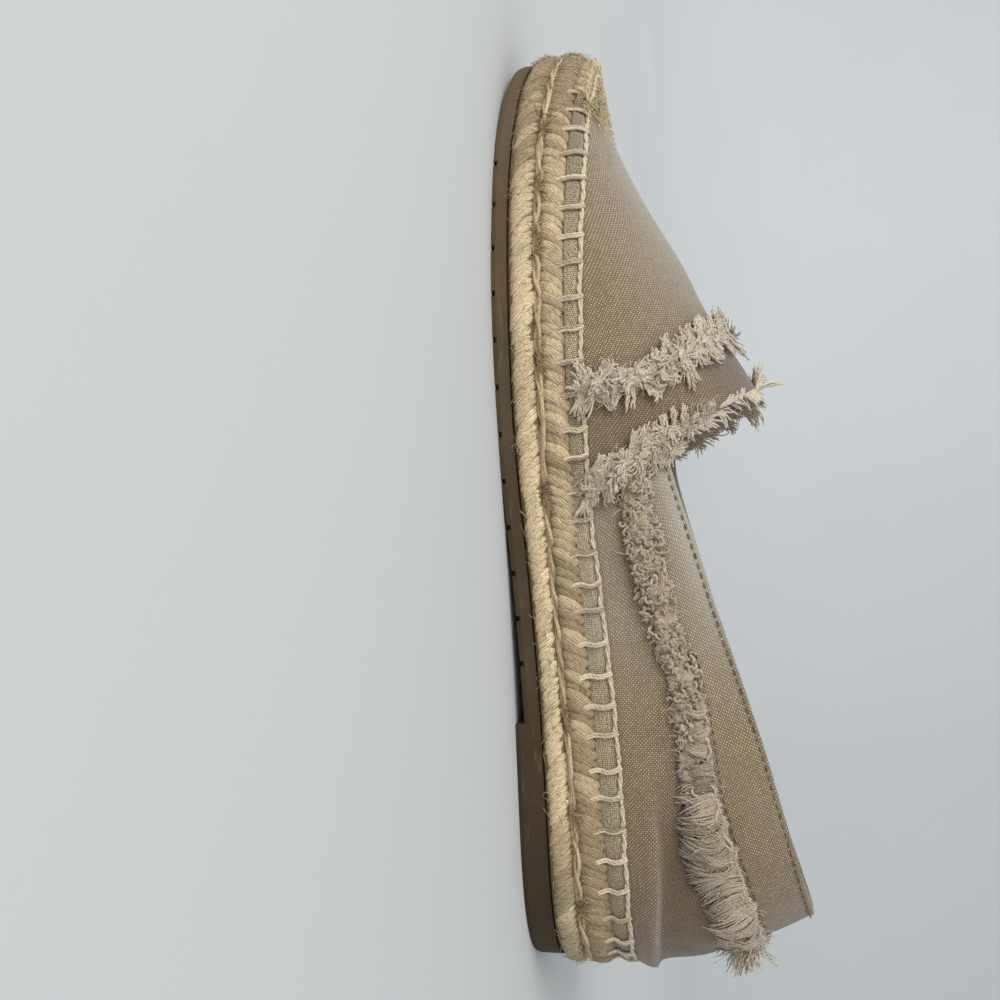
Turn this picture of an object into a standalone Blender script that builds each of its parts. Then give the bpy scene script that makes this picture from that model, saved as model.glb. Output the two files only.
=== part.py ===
"""Left espadrille: rubber outsole with a low heel, braided jute midsole,
fabric footbed and a hollow canvas upper.

Frame: +X to the toe, +Y to the shoe's left (its outer side), +Z up, standing
on z = 0, origin under the middle of the shoe. Sizes in the tables are in
millimetres and MM turns them into metres.
"""
import math

import bmesh
import bpy
import numpy as np

MM = 0.001

# ---------------------------------------------------------------- main sizes
LENGTH = 245.4            # jute midsole, toe to heel
HALF = LENGTH / 2.0
RUBBER = 3.9              # thickness of the rubber sheet
BREAST_X = -53.5          # front face of the low heel
TREAD_FIRST_X = 86.0      # first cross groove of the tread
TREAD_PITCH = 11.3
TREAD_COUNT = 12
TREAD_WIDTH = 1.2
TREAD_DEPTH = 0.8
GAP = 0.3                 # clearance between pieces that meet
WALL = 1.6                # canvas and its lining
WALL_INSET = 1.8          # canvas stands this far inside the jute's side
FOOTBED = 1.5
INSTEP_BASE_X = 1.75      # where the instep band's rear edge meets the sole
THROAT_X = 28.8           # top of the throat on the ridge
CORNER_X = 15.0           # where topline and instep band meet
TOE_RIDGE_X = 106.0       # where the ridge line ends over the toes
INNER_DROP = 1.6          # topline lower on the inner side of the foot

# Sole outline, half widths either side of the long axis.
OUTLINE = [
    # x, outer, inner
    (-122.7, 0.0, 0.0),
    (-119.0, 12.6, 12.6),
    (-110.0, 22.1, 22.1),
    (-95.0, 28.0, 27.8),
    (-70.0, 30.2, 29.0),
    (-40.0, 31.8, 28.2),
    (-10.0, 35.2, 29.2),
    (15.0, 39.5, 34.2),
    (35.0, 42.2, 39.2),
    (55.0, 42.2, 41.6),
    (75.0, 38.2, 40.4),
    (90.0, 33.0, 36.8),
    (104.0, 24.8, 29.6),
    (113.5, 17.0, 21.8),
    (119.5, 9.8, 12.9),
    (122.7, 0.0, 0.0),
]

# Heights along the sole.
SOLE = [
    # x, ground, rubber_top, jute_top
    (-122.7, 0.0, 7.0, 20.8),
    (-93.0, 0.0, 6.9, 20.4),
    (-53.5, 2.4, 6.4, 18.7),
    (-30.0, 1.7, 5.6, 17.5),
    (-8.0, 0.8, 4.7, 16.9),
    (12.0, 0.0, 3.9, 16.8),
    (48.0, 0.0, 3.9, 17.2),
    (80.0, 0.0, 3.9, 17.9),
    (100.0, 0.6, 4.5, 19.0),
    (114.0, 1.7, 5.6, 20.2),
    (122.7, 3.1, 7.0, 21.0),
]

# Side of the jute band: how far in from the outline, and how far up the band.
JUTE_PROFILE = [
    # inset, level
    (1.9, 0.00),
    (0.5, 0.09),
    (0.0, 0.24),
    (0.5, 0.40),
    (1.5, 0.49),
    (0.6, 0.58),
    (0.2, 0.74),
    (0.7, 0.90),
    (1.7, 1.00),
]

# Ridge line of vamp and instep, over the closed part of the upper.
RIDGE = [
    # x, height, side
    (28.8, 62.6, -1.0),
    (35.0, 59.2, -1.2),
    (41.0, 55.6, -1.6),
    (50.5, 49.8, -2.2),
    (59.0, 45.8, -2.8),
    (73.6, 39.3, -3.6),
    (85.6, 33.7, -4.2),
    (98.0, 27.9, -4.6),
    (107.0, 24.5, -4.6),
    (120.0, 22.2, -4.6),
]

# Topline of the quarter, from the heel to the instep band.
TOPLINE = [
    # x, height
    (-109.0, 72.6),
    (-93.5, 68.7),
    (-77.2, 64.6),
    (-61.3, 60.6),
    (-41.3, 54.9),
    (-20.4, 48.4),
    (-7.7, 44.3),
    (5.0, 40.9),
    (15.0, 39.6),
]

# Form of the quarter, by where its rib starts on the sole.
QUARTER = [
    # x, lean_in, belly, forward
    (-122.7, 12.8, 3.5, 0.0),
    (-110.0, 10.8, 2.8, 0.0),
    (-85.0, 9.0, 1.8, 0.0),
    (-50.0, 7.0, 1.0, 0.0),
    (-25.0, 5.6, 0.6, 4.5),
    (1.75, 4.4, 0.0, 13.25),
]


# ------------------------------------------------------------------ helpers
def spline(xs, ys):
    """Natural cubic through the rows; straight on beyond both ends."""
    xs = np.asarray(xs, float)
    ys = np.asarray(ys, float)
    n = len(xs)
    h = np.diff(xs)
    a = np.zeros((n, n))
    r = np.zeros(n)
    a[0, 0] = a[-1, -1] = 1.0
    for i in range(1, n - 1):
        a[i, i - 1] = h[i - 1]
        a[i, i] = 2.0 * (h[i - 1] + h[i])
        a[i, i + 1] = h[i]
        r[i] = 6.0 * ((ys[i + 1] - ys[i]) / h[i] - (ys[i] - ys[i - 1]) / h[i - 1])
    m = np.linalg.solve(a, r)

    def at(x):
        i = int(np.clip(np.searchsorted(xs, x) - 1, 0, n - 2))
        d = h[i]
        if x < xs[0] or x > xs[-1]:
            j = 0 if x < xs[0] else n - 2
            e = xs[0] if x < xs[0] else xs[-1]
            k = (ys[j + 1] - ys[j]) / h[j]
            k += (-h[j] * (2 * m[j] + m[j + 1]) if x < xs[0]
                  else h[j] * (m[j] + 2 * m[j + 1])) / 6.0
            return float((ys[0] if x < xs[0] else ys[-1]) + k * (x - e))
        p, q = xs[i + 1] - x, x - xs[i]
        return float((m[i] * p ** 3 + m[i + 1] * q ** 3) / (6 * d)
                     + (ys[i] / d - m[i] * d / 6) * p
                     + (ys[i + 1] / d - m[i + 1] * d / 6) * q)
    return at


def column(table, k):
    return [row[k] for row in table]


def turn(x):
    """Place along the shoe as an angle, 0 at the heel and pi at the toe."""
    return math.acos(max(-1.0, min(1.0, -x / HALF)))


outer_by_turn = spline([turn(x) for x in column(OUTLINE, 0)], column(OUTLINE, 1))
inner_by_turn = spline([turn(x) for x in column(OUTLINE, 0)], column(OUTLINE, 2))
ground_z = spline(column(SOLE[2:], 0), column(SOLE[2:], 1))
rubber_top = spline(column(SOLE, 0), column(SOLE, 2))
jute_top = spline(column(SOLE, 0), column(SOLE, 3))
ridge_z = spline(column(RIDGE, 0), column(RIDGE, 1))
ridge_y = spline(column(RIDGE, 0), column(RIDGE, 2))
topline_z = spline(column(TOPLINE, 0), column(TOPLINE, 1))
lean_in = spline(column(QUARTER, 0), column(QUARTER, 1))
belly = spline(column(QUARTER, 0), column(QUARTER, 2))
forward = spline(column(QUARTER, 0), column(QUARTER, 3))


def sole_ground(x):
    if x < BREAST_X or 12.0 <= x <= 80.0:
        return 0.0
    return max(0.0, ground_z(x))


def outline_point(angle, side):
    """Point of the sole outline and its outward normal, side is +1 or -1."""
    half = outer_by_turn if side > 0 else inner_by_turn

    def p(t):
        return np.array([-HALF * math.cos(t), side * max(half(t), 0.0)])
    if angle < 1e-6:
        return np.array([-HALF, 0.0]), np.array([-1.0, 0.0])
    if angle > math.pi - 1e-6:
        return np.array([HALF, 0.0]), np.array([1.0, 0.0])
    e = 0.012
    lo, hi = max(angle - e, 0.0), min(angle + e, math.pi)
    d = p(hi) - p(lo)
    n = np.array([-d[1], d[0]]) * side
    return p(angle), n / np.linalg.norm(n)


def loop_angles(stations):
    """Heel, outer side to the toe, inner side back: (angle, side) pairs."""
    inside = stations[1:-1]
    return ([(stations[0], 1)] + [(t, 1) for t in inside] + [(stations[-1], 1)]
            + [(t, -1) for t in reversed(inside)])


def link(name, bm, colour, roughness, smooth_deg=35.0):
    bmesh.ops.recalc_face_normals(bm, faces=bm.faces[:])
    mesh = bpy.data.meshes.new(name)
    bm.to_mesh(mesh)
    bm.free()
    mesh.shade_smooth()
    mesh.set_sharp_from_angle(angle=math.radians(smooth_deg))
    obj = bpy.data.objects.new(name, mesh)
    bpy.context.collection.objects.link(obj)
    mat = bpy.data.materials.new(name + "_finish")
    mat.use_nodes = True
    bsdf = mat.node_tree.nodes["Principled BSDF"]
    bsdf.inputs["Base Color"].default_value = (*colour, 1.0)
    bsdf.inputs["Roughness"].default_value = roughness
    bsdf.inputs["Metallic"].default_value = 0.0
    mesh.materials.append(mat)
    obj.parent = shoe
    return obj


def stacked_sole(name, stations, levels, colour, roughness):
    """Closed solid from rings of the outline, one for each level.

    A level is (inset, height function of x). Top and bottom are closed by
    strips that run straight across the shoe.
    """
    bm = bmesh.new()
    angles = loop_angles(stations)
    rings = []
    for inset, height in levels:
        ring = []
        for t, side in angles:
            p, n = outline_point(t, side)
            q = p - n * inset
            ring.append(bm.verts.new((q[0] * MM, q[1] * MM,
                                      height(-HALF * math.cos(t)) * MM)))
        rings.append(ring)
    count = len(angles)
    for a, b in zip(rings, rings[1:]):
        for i in range(count):
            j = (i + 1) % count
            bm.faces.new((a[i], a[j], b[j], b[i]))
    last = len(stations) - 1
    for ring in (rings[0], rings[-1]):
        for i in range(last):
            left, right = ring[i], ring[i + 1]
            far_l, far_r = ring[-i % count], ring[-(i + 1) % count]
            if i == 0:
                bm.faces.new((left, right, far_r))
            elif i == last - 1:
                bm.faces.new((left, right, far_l))
            else:
                bm.faces.new((left, right, far_r, far_l))
    return link(name, bm, colour, roughness)


# -------------------------------------------------------------------- scene
for old in list(bpy.data.objects):
    bpy.data.objects.remove(old, do_unlink=True)

shoe = bpy.data.objects.new("espadrille_left", None)
bpy.context.collection.objects.link(shoe)

base_angles = [math.pi * i / 44.0 for i in range(45)]


# ------------------------------------------------------------------ outsole
def tread_edges():
    """Groove walls: (x, depth) pairs, with a step of 0.1 mm for each wall."""
    rows = []
    for k in range(TREAD_COUNT):
        x = TREAD_FIRST_X - k * TREAD_PITCH
        w = TREAD_WIDTH / 2.0
        rows += [(x - w - 0.1, 0.0), (x - w, TREAD_DEPTH),
                 (x + w, TREAD_DEPTH), (x + w + 0.1, 0.0)]
    rows += [(BREAST_X - 0.1, 0.0), (BREAST_X + 0.1, 0.0)]
    return rows


treads = sorted(tread_edges())
tread_turns = [turn(x) for x, _ in treads]
clear = math.radians(1.1)
sole_stations = sorted(tread_turns + [t for t in base_angles
                                      if min(abs(t - s) for s in tread_turns) > clear])

def bottom_of_rubber(x):
    for k in range(TREAD_COUNT):
        if abs(x - TREAD_FIRST_X + k * TREAD_PITCH) < TREAD_WIDTH / 2.0 + 0.05:
            return sole_ground(x) + TREAD_DEPTH
    return sole_ground(x)


stacked_sole(
    "outsole", sole_stations,
    [(1.6, bottom_of_rubber),
     (1.2, lambda x: max(sole_ground(x) + 1.2, bottom_of_rubber(x) + 0.3)),
     (1.2, rubber_top)],
    (0.130, 0.090, 0.055), 0.62)

# ------------------------------------------------------------- jute midsole


def jute_level(level):
    def height(x):
        low = rubber_top(x) + GAP
        return low + (jute_top(x) - low) * level
    return height


stacked_sole("jute_midsole", base_angles,
             [(inset, jute_level(level)) for inset, level in JUTE_PROFILE],
             (0.560, 0.455, 0.300), 0.95)


# ------------------------------------------------------------------- insole
def footbed_inset(t):
    """Clear of the wall at the sides, and short of the flat toe."""
    x = -HALF * math.cos(t)
    return 4.4 + 9.0 * max(0.0, (x - 60.0) / 65.0) ** 2


def footbed():
    bm = bmesh.new()
    stations = base_angles[:-1]
    angles = loop_angles(stations)
    rings = []
    for lift in (GAP, GAP + FOOTBED):
        ring = []
        for t, side in angles:
            p, n = outline_point(t, side)
            q = p - n * footbed_inset(t)
            ring.append(bm.verts.new((q[0] * MM, q[1] * MM,
                                      (jute_top(q[0]) + lift) * MM)))
        rings.append(ring)
    count = len(angles)
    last = len(stations) - 1
    for i in range(count):
        j = (i + 1) % count
        bm.faces.new((rings[0][i], rings[0][j], rings[1][j], rings[1][i]))
    for ring in rings:
        for i in range(last):
            left, right = ring[i], ring[i + 1]
            far_l, far_r = ring[-i % count], ring[-(i + 1) % count]
            if i == 0:
                bm.faces.new((left, right, far_r))
            elif i == last - 1:
                bm.faces.new((left, right, far_l))
            else:
                bm.faces.new((left, right, far_r, far_l))
    return link("insole", bm, (0.420, 0.345, 0.250), 0.9)


footbed()

# -------------------------------------------------------------------- upper
LOW_ROWS = 7              # rows from the sole up to the topline
HIGH_ROWS = 6             # more rows over the closed part, up to the ridge
ROUND = 1.8               # fullness of the arched sections

corner_share = ((topline_z(CORNER_X) - jute_top(INSTEP_BASE_X) - GAP)
                / (ridge_z(THROAT_X) - jute_top(INSTEP_BASE_X) - GAP))
corner_s = 1.0 - (1.0 - corner_share) ** (1.0 / ROUND)


def upper_stations():
    """Rib feet: quarter from the heel to the instep band, then the vamp."""
    foot = turn(INSTEP_BASE_X)
    quarter = [foot * i / 20.0 for i in range(21)]
    vamp = [foot + (math.pi - foot) * i / 22.0 for i in range(1, 23)]
    return quarter, vamp


quarter_turns, vamp_turns = upper_stations()


def rib_foot(t, side, inset):
    p, n = outline_point(t, side)
    q = p - n * inset
    return q, n, jute_top(-HALF * math.cos(t)) + GAP


def vamp_rib(t, side, inset, drop):
    """Arched rib from the sole to the ridge, as a function of s in 0..1."""
    foot, _, z0 = rib_foot(t, side, inset)
    x_foot = -HALF * math.cos(t)
    share = (x_foot - INSTEP_BASE_X) / (HALF - INSTEP_BASE_X)
    x_top = THROAT_X + (TOE_RIDGE_X - THROAT_X) * share
    top = (x_top, ridge_y(x_top), ridge_z(x_top) - drop)

    def at(s):
        up = 1.0 - (1.0 - s) ** ROUND
        across = s ** ROUND
        return (foot[0] + (top[0] - foot[0]) * up,
                foot[1] + (top[1] - foot[1]) * across,
                z0 + (top[2] - z0) * up)
    return at


def quarter_rib(t, side, inset, blend_rib):
    """Side wall rib from the sole to the topline, as a function of s."""
    foot, n, z0 = rib_foot(t, side, inset)
    x_foot = -HALF * math.cos(t)
    lean = lean_in(x_foot)
    top_x = foot[0] - n[0] * lean + forward(x_foot)
    top_z = topline_z(min(top_x + n[0] * (inset - WALL_INSET), CORNER_X))
    if side < 0:
        top_z -= INNER_DROP * math.sin(
            math.pi * max(0.0, min(1.0, (top_x - CORNER_X) / (-105.0 - CORNER_X)))) ** 0.7
    share = max(0.0, min(1.0, (x_foot + 32.0) / (32.0 + INSTEP_BASE_X)))
    weight = share * share * (3.0 - 2.0 * share)
    out = belly(x_foot)

    def at(s):
        inward = lean * s ** 2.1 - out * math.sin(math.pi * min(s / 0.62, 1.0))
        shift = forward(x_foot) * s
        plain = np.array([foot[0] - n[0] * inward + shift,
                          foot[1] - n[1] * inward, z0 + (top_z - z0) * s])
        arched = np.array(blend_rib(s * corner_s))
        arched[0] += foot[0] - blend_rib(0.0)[0]
        arched[1] += foot[1] - blend_rib(0.0)[1]
        arched[2] = z0 + (arched[2] - blend_rib(0.0)[2]) * (
            (top_z - z0) / max(blend_rib(corner_s)[2] - blend_rib(0.0)[2], 1e-6))
        return tuple(plain * (1.0 - weight) + arched * weight)
    return at


def shell(inset, drop):
    """Rows of one skin: quarter ribs, then vamp ribs, for both sides."""
    low = [k / (LOW_ROWS - 1) for k in range(LOW_ROWS)]
    skin = {}
    for side in (1, -1):
        edge = vamp_rib(turn(INSTEP_BASE_X), side, inset, drop)
        for i, t in enumerate(quarter_turns[:-1]):
            rib = quarter_rib(t, side, inset, edge)
            skin[("q", i, side)] = [rib(s) for s in low]
        for i, t in enumerate([turn(INSTEP_BASE_X)] + vamp_turns):
            rib = vamp_rib(t, side, inset, drop)
            rows = [s * corner_s for s in low]
            rows += [corner_s + (1.0 - corner_s) * k / HIGH_ROWS
                     for k in range(1, HIGH_ROWS + 1)]
            skin[("v", i, side)] = [rib(s) for s in rows]
    return skin


def upper():
    bm = bmesh.new()
    skins = []
    n_q = len(quarter_turns) - 1
    n_v = len(vamp_turns) + 1
    for inset, drop in ((WALL_INSET, 0.0), (WALL_INSET + WALL, WALL)):
        skin = shell(inset, drop)
        verts = {}
        for (kind, i, side), rows in skin.items():
            for k, p in enumerate(rows):
                key = (kind, i, side, k)
                if kind == "q" and i == 0 and side == -1:
                    verts[key] = verts[("q", 0, 1, k)]
                elif kind == "v" and i == n_v - 1 and side == -1:
                    verts[key] = verts[("v", i, 1, k)]
                elif kind == "v" and k == len(rows) - 1 and side == -1:
                    verts[key] = verts[("v", i, 1, k)]
                else:
                    verts[key] = bm.verts.new([c * MM for c in p])
        skins.append(verts)

    def face(loop):
        unique = []
        for v in loop:
            if v not in unique:
                unique.append(v)
        if len(unique) > 2:
            bm.faces.new(unique)

    rows_v = LOW_ROWS + HIGH_ROWS
    for verts in skins:
        for side in (1, -1):
            for i in range(n_q):
                nxt = ("q", i + 1) if i + 1 < n_q else ("v", 0)
                for k in range(LOW_ROWS - 1):
                    face((verts[("q", i, side, k)], verts[(*nxt, side, k)],
                          verts[(*nxt, side, k + 1)], verts[("q", i, side, k + 1)]))
            for i in range(n_v - 1):
                for k in range(rows_v - 1):
                    face((verts[("v", i, side, k)], verts[("v", i + 1, side, k)],
                          verts[("v", i + 1, side, k + 1)], verts[("v", i, side, k + 1)]))

    def strip(keys):
        a, b = skins
        for p, q in zip(keys, keys[1:]):
            face((a[p], a[q], b[q], b[p]))
    for side in (1, -1):
        feet = ([("q", i, side, 0) for i in range(n_q)]
                + [("v", i, side, 0) for i in range(n_v)])
        strip(feet)
        mouth = ([("q", i, side, LOW_ROWS - 1) for i in range(n_q)]
                 + [("v", 0, side, k) for k in range(LOW_ROWS - 1, rows_v)])
        strip(mouth)
    return link("upper", bm, (0.330, 0.265, 0.180), 0.93, 50.0)


upper()
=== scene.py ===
"""Looks of the left espadrille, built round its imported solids.

Same frame as the solids: +X to the toe, +Y to the shoe's outer side, +Z up,
standing on z = 0. Tables and working sizes are in millimetres.
"""

import math

import bpy
import numpy as np
from mathutils import Matrix


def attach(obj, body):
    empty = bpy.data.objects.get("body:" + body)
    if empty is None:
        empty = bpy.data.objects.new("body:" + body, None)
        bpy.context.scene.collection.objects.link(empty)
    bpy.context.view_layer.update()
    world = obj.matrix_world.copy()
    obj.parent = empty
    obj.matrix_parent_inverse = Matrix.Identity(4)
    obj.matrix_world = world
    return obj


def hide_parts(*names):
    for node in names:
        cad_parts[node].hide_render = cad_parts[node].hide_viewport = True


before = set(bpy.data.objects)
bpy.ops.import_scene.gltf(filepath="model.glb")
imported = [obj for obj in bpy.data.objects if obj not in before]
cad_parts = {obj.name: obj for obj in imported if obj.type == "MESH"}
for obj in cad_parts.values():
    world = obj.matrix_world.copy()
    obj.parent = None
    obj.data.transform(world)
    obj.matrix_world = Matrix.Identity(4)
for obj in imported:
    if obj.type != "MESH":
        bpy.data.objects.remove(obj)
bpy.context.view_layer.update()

MM = 0.001
rng = np.random.default_rng(41)

# --------------------------------------------------- the shoe's own sizes
LENGTH = 245.4
HALF = LENGTH / 2.0
GAP = 0.3
WALL = 1.6
WALL_INSET = 1.8
INSTEP_BASE_X = 1.75
THROAT_X = 28.8
CORNER_X = 15.0
TOE_RIDGE_X = 106.0
INNER_DROP = 1.6
ROUND = 1.8

OUTLINE = [
    # x, outer, inner
    (-122.7, 0.0, 0.0),
    (-119.0, 12.6, 12.6),
    (-110.0, 22.1, 22.1),
    (-95.0, 28.0, 27.8),
    (-70.0, 30.2, 29.0),
    (-40.0, 31.8, 28.2),
    (-10.0, 35.2, 29.2),
    (15.0, 39.5, 34.2),
    (35.0, 42.2, 39.2),
    (55.0, 42.2, 41.6),
    (75.0, 38.2, 40.4),
    (90.0, 33.0, 36.8),
    (104.0, 24.8, 29.6),
    (113.5, 17.0, 21.8),
    (119.5, 9.8, 12.9),
    (122.7, 0.0, 0.0),
]
SOLE = [
    # x, ground, rubber_top, jute_top
    (-122.7, 0.0, 7.0, 20.8),
    (-93.0, 0.0, 6.9, 20.4),
    (-53.5, 2.4, 6.4, 18.7),
    (-30.0, 1.7, 5.6, 17.5),
    (-8.0, 0.8, 4.7, 16.9),
    (12.0, 0.0, 3.9, 16.8),
    (48.0, 0.0, 3.9, 17.2),
    (80.0, 0.0, 3.9, 17.9),
    (100.0, 0.6, 4.5, 19.0),
    (114.0, 1.7, 5.6, 20.2),
    (122.7, 3.1, 7.0, 21.0),
]
JUTE_PROFILE = [
    # inset, level
    (1.9, 0.00),
    (0.5, 0.09),
    (0.0, 0.24),
    (0.5, 0.40),
    (1.5, 0.49),
    (0.6, 0.58),
    (0.2, 0.74),
    (0.7, 0.90),
    (1.7, 1.00),
]
RIDGE = [
    # x, height, side
    (28.8, 62.6, -1.0),
    (35.0, 59.2, -1.2),
    (41.0, 55.6, -1.6),
    (50.5, 49.8, -2.2),
    (59.0, 45.8, -2.8),
    (73.6, 38.2, -3.6),
    (85.6, 31.9, -4.2),
    (98.0, 26.1, -4.6),
    (107.0, 23.2, -4.6),
    (120.0, 21.4, -4.6),
]
TOPLINE = [
    # x, height
    (-109.0, 72.6),
    (-93.5, 68.7),
    (-77.2, 64.6),
    (-61.3, 60.6),
    (-41.3, 54.9),
    (-20.4, 48.4),
    (-7.7, 44.3),
    (5.0, 40.9),
    (15.0, 39.6),
]
QUARTER = [
    # x, lean_in, belly, forward
    (-122.7, 12.8, 3.5, 0.0),
    (-110.0, 10.8, 2.8, 0.0),
    (-85.0, 9.0, 1.8, 0.0),
    (-50.0, 7.0, 1.0, 0.0),
    (-25.0, 5.6, 0.6, 4.5),
    (1.75, 4.4, 0.0, 13.25),
]
# Where the vamp's raw rear edge crosses the ribs: share up the rib, rib foot.
VAMP_EDGE = [(0.0, 27.8), (0.35, 21.8), (0.65, 24.2), (1.0, 29.0)]
# Lower raw edge of the collar band: rib foot x, share of the quarter's height.
COLLAR_EDGE = [(-122.7, 0.74), (-95.0, 0.70), (-70.0, 0.66), (-40.0, 0.71),
               (-18.0, 0.69), (1.75, 0.76)]
# Blanket stitch line: place along the shoe, height of it up the canvas.
STITCH_LINE = [(-122.7, 5.4), (-90.0, 5.6), (-50.0, 6.0), (-10.0, 4.9),
               (15.0, 4.4), (45.0, 4.0), (85.0, 4.0), (105.0, 4.0), (122.7, 4.4)]


def spline(xs, ys):
    """Natural cubic through the rows; straight on beyond both ends."""
    xs = np.asarray(xs, float)
    ys = np.asarray(ys, float)
    n = len(xs)
    h = np.diff(xs)
    a = np.zeros((n, n))
    r = np.zeros(n)
    a[0, 0] = a[-1, -1] = 1.0
    for i in range(1, n - 1):
        a[i, i - 1] = h[i - 1]
        a[i, i] = 2.0 * (h[i - 1] + h[i])
        a[i, i + 1] = h[i]
        r[i] = 6.0 * ((ys[i + 1] - ys[i]) / h[i] - (ys[i] - ys[i - 1]) / h[i - 1])
    m = np.linalg.solve(a, r)
    k0 = (ys[1] - ys[0]) / h[0] - h[0] * (2 * m[0] + m[1]) / 6.0
    k1 = (ys[-1] - ys[-2]) / h[-1] + h[-1] * (m[-2] + 2 * m[-1]) / 6.0

    def at(x):
        x = np.asarray(x, float)
        i = np.clip(np.searchsorted(xs, x) - 1, 0, n - 2)
        d = h[i]
        p, q = xs[i + 1] - x, x - xs[i]
        mid = ((m[i] * p ** 3 + m[i + 1] * q ** 3) / (6 * d)
               + (ys[i] / d - m[i] * d / 6) * p
               + (ys[i + 1] / d - m[i + 1] * d / 6) * q)
        mid = np.where(x < xs[0], ys[0] + k0 * (x - xs[0]), mid)
        return np.where(x > xs[-1], ys[-1] + k1 * (x - xs[-1]), mid)
    return at


def column(table, k):
    return [row[k] for row in table]


def turn(x):
    return np.arccos(np.clip(-np.asarray(x, float) / HALF, -1.0, 1.0))


outer_by_turn = spline(turn(column(OUTLINE, 0)), column(OUTLINE, 1))
inner_by_turn = spline(turn(column(OUTLINE, 0)), column(OUTLINE, 2))
rubber_top = spline(column(SOLE, 0), column(SOLE, 2))
jute_top = spline(column(SOLE, 0), column(SOLE, 3))
ridge_z = spline(column(RIDGE, 0), column(RIDGE, 1))
ridge_y = spline(column(RIDGE, 0), column(RIDGE, 2))
topline_z = spline(column(TOPLINE, 0), column(TOPLINE, 1))
lean_in = spline(column(QUARTER, 0), column(QUARTER, 1))
belly = spline(column(QUARTER, 0), column(QUARTER, 2))
forward = spline(column(QUARTER, 0), column(QUARTER, 3))
profile_inset = spline(column(JUTE_PROFILE, 1), column(JUTE_PROFILE, 0))
vamp_edge_foot = spline(column(VAMP_EDGE, 0), column(VAMP_EDGE, 1))
collar_edge = spline(column(COLLAR_EDGE, 0), column(COLLAR_EDGE, 1))
stitch_height = spline(column(STITCH_LINE, 0), column(STITCH_LINE, 1))
FOOT = float(turn(INSTEP_BASE_X))


def smooth(x, lo, hi):
    k = np.clip((x - lo) / (hi - lo), 0.0, 1.0)
    return k * k * (3.0 - 2.0 * k)


def unit(v):
    return v / np.maximum(np.linalg.norm(v, axis=-1, keepdims=True), 1e-9)


# ------------------------------------------------------ outline and surfaces
# tau runs round the shoe: 0 at the heel, +pi at the toe by the outer side,
# -pi at the toe by the inner side.
def outline_xy(tau):
    t = np.abs(tau)
    half = np.where(tau >= 0, outer_by_turn(t), inner_by_turn(t))
    half = np.maximum(half, 0.0)
    return np.stack([-HALF * np.cos(t), np.where(tau >= 0, 1, -1) * half], -1)


def outline(tau):
    """Points of the sole outline and their outward normals."""
    tau = np.asarray(tau, float)
    e = 0.012
    t = np.abs(tau)
    sg = np.where(tau >= 0, 1.0, -1.0)
    lo, hi = np.clip(t - e, 0, np.pi), np.clip(t + e, 0, np.pi)
    sg0 = sg

    def p(u):
        half = np.where(sg0 > 0, outer_by_turn(u), inner_by_turn(u))
        return np.stack([-HALF * np.cos(u), sg0 * np.maximum(half, 0.0)], -1)
    d = p(hi) - p(lo)
    n = np.stack([-d[..., 1], d[..., 0]], -1) * sg[..., None]
    n = unit(n)
    blend_h = smooth(t, 0.0, 0.02)[..., None]
    blend_t = smooth(t, np.pi - 0.02, np.pi)[..., None]
    n = unit(n * blend_h + np.array([-1.0, 0.0]) * (1 - blend_h))
    n = unit(n * (1 - blend_t) + np.array([1.0, 0.0]) * blend_t)
    return outline_xy(tau), n


corner_share = float((topline_z(CORNER_X) - jute_top(INSTEP_BASE_X) - GAP)
                     / (ridge_z(THROAT_X) - jute_top(INSTEP_BASE_X) - GAP))
corner_s = 1.0 - (1.0 - corner_share) ** (1.0 / ROUND)


def arch(tau, s, inset=WALL_INSET, drop=0.0):
    """Point on an arched rib that runs from the sole to the ridge."""
    tau, s = np.broadcast_arrays(np.asarray(tau, float), np.asarray(s, float))
    p, n = outline(tau)
    foot = p - n * inset
    x_foot = -HALF * np.cos(np.abs(tau))
    z0 = jute_top(x_foot) + GAP
    share = (x_foot - INSTEP_BASE_X) / (HALF - INSTEP_BASE_X)
    x_top = THROAT_X + (TOE_RIDGE_X - THROAT_X) * share
    s = np.clip(s, 0.0, 1.0)
    up = 1.0 - (1.0 - s) ** ROUND
    across = s ** ROUND
    return np.stack([foot[..., 0] + (x_top - foot[..., 0]) * up,
                     foot[..., 1] + (ridge_y(x_top) - foot[..., 1]) * across,
                     z0 + (ridge_z(x_top) - drop - z0) * up], -1)


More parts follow.
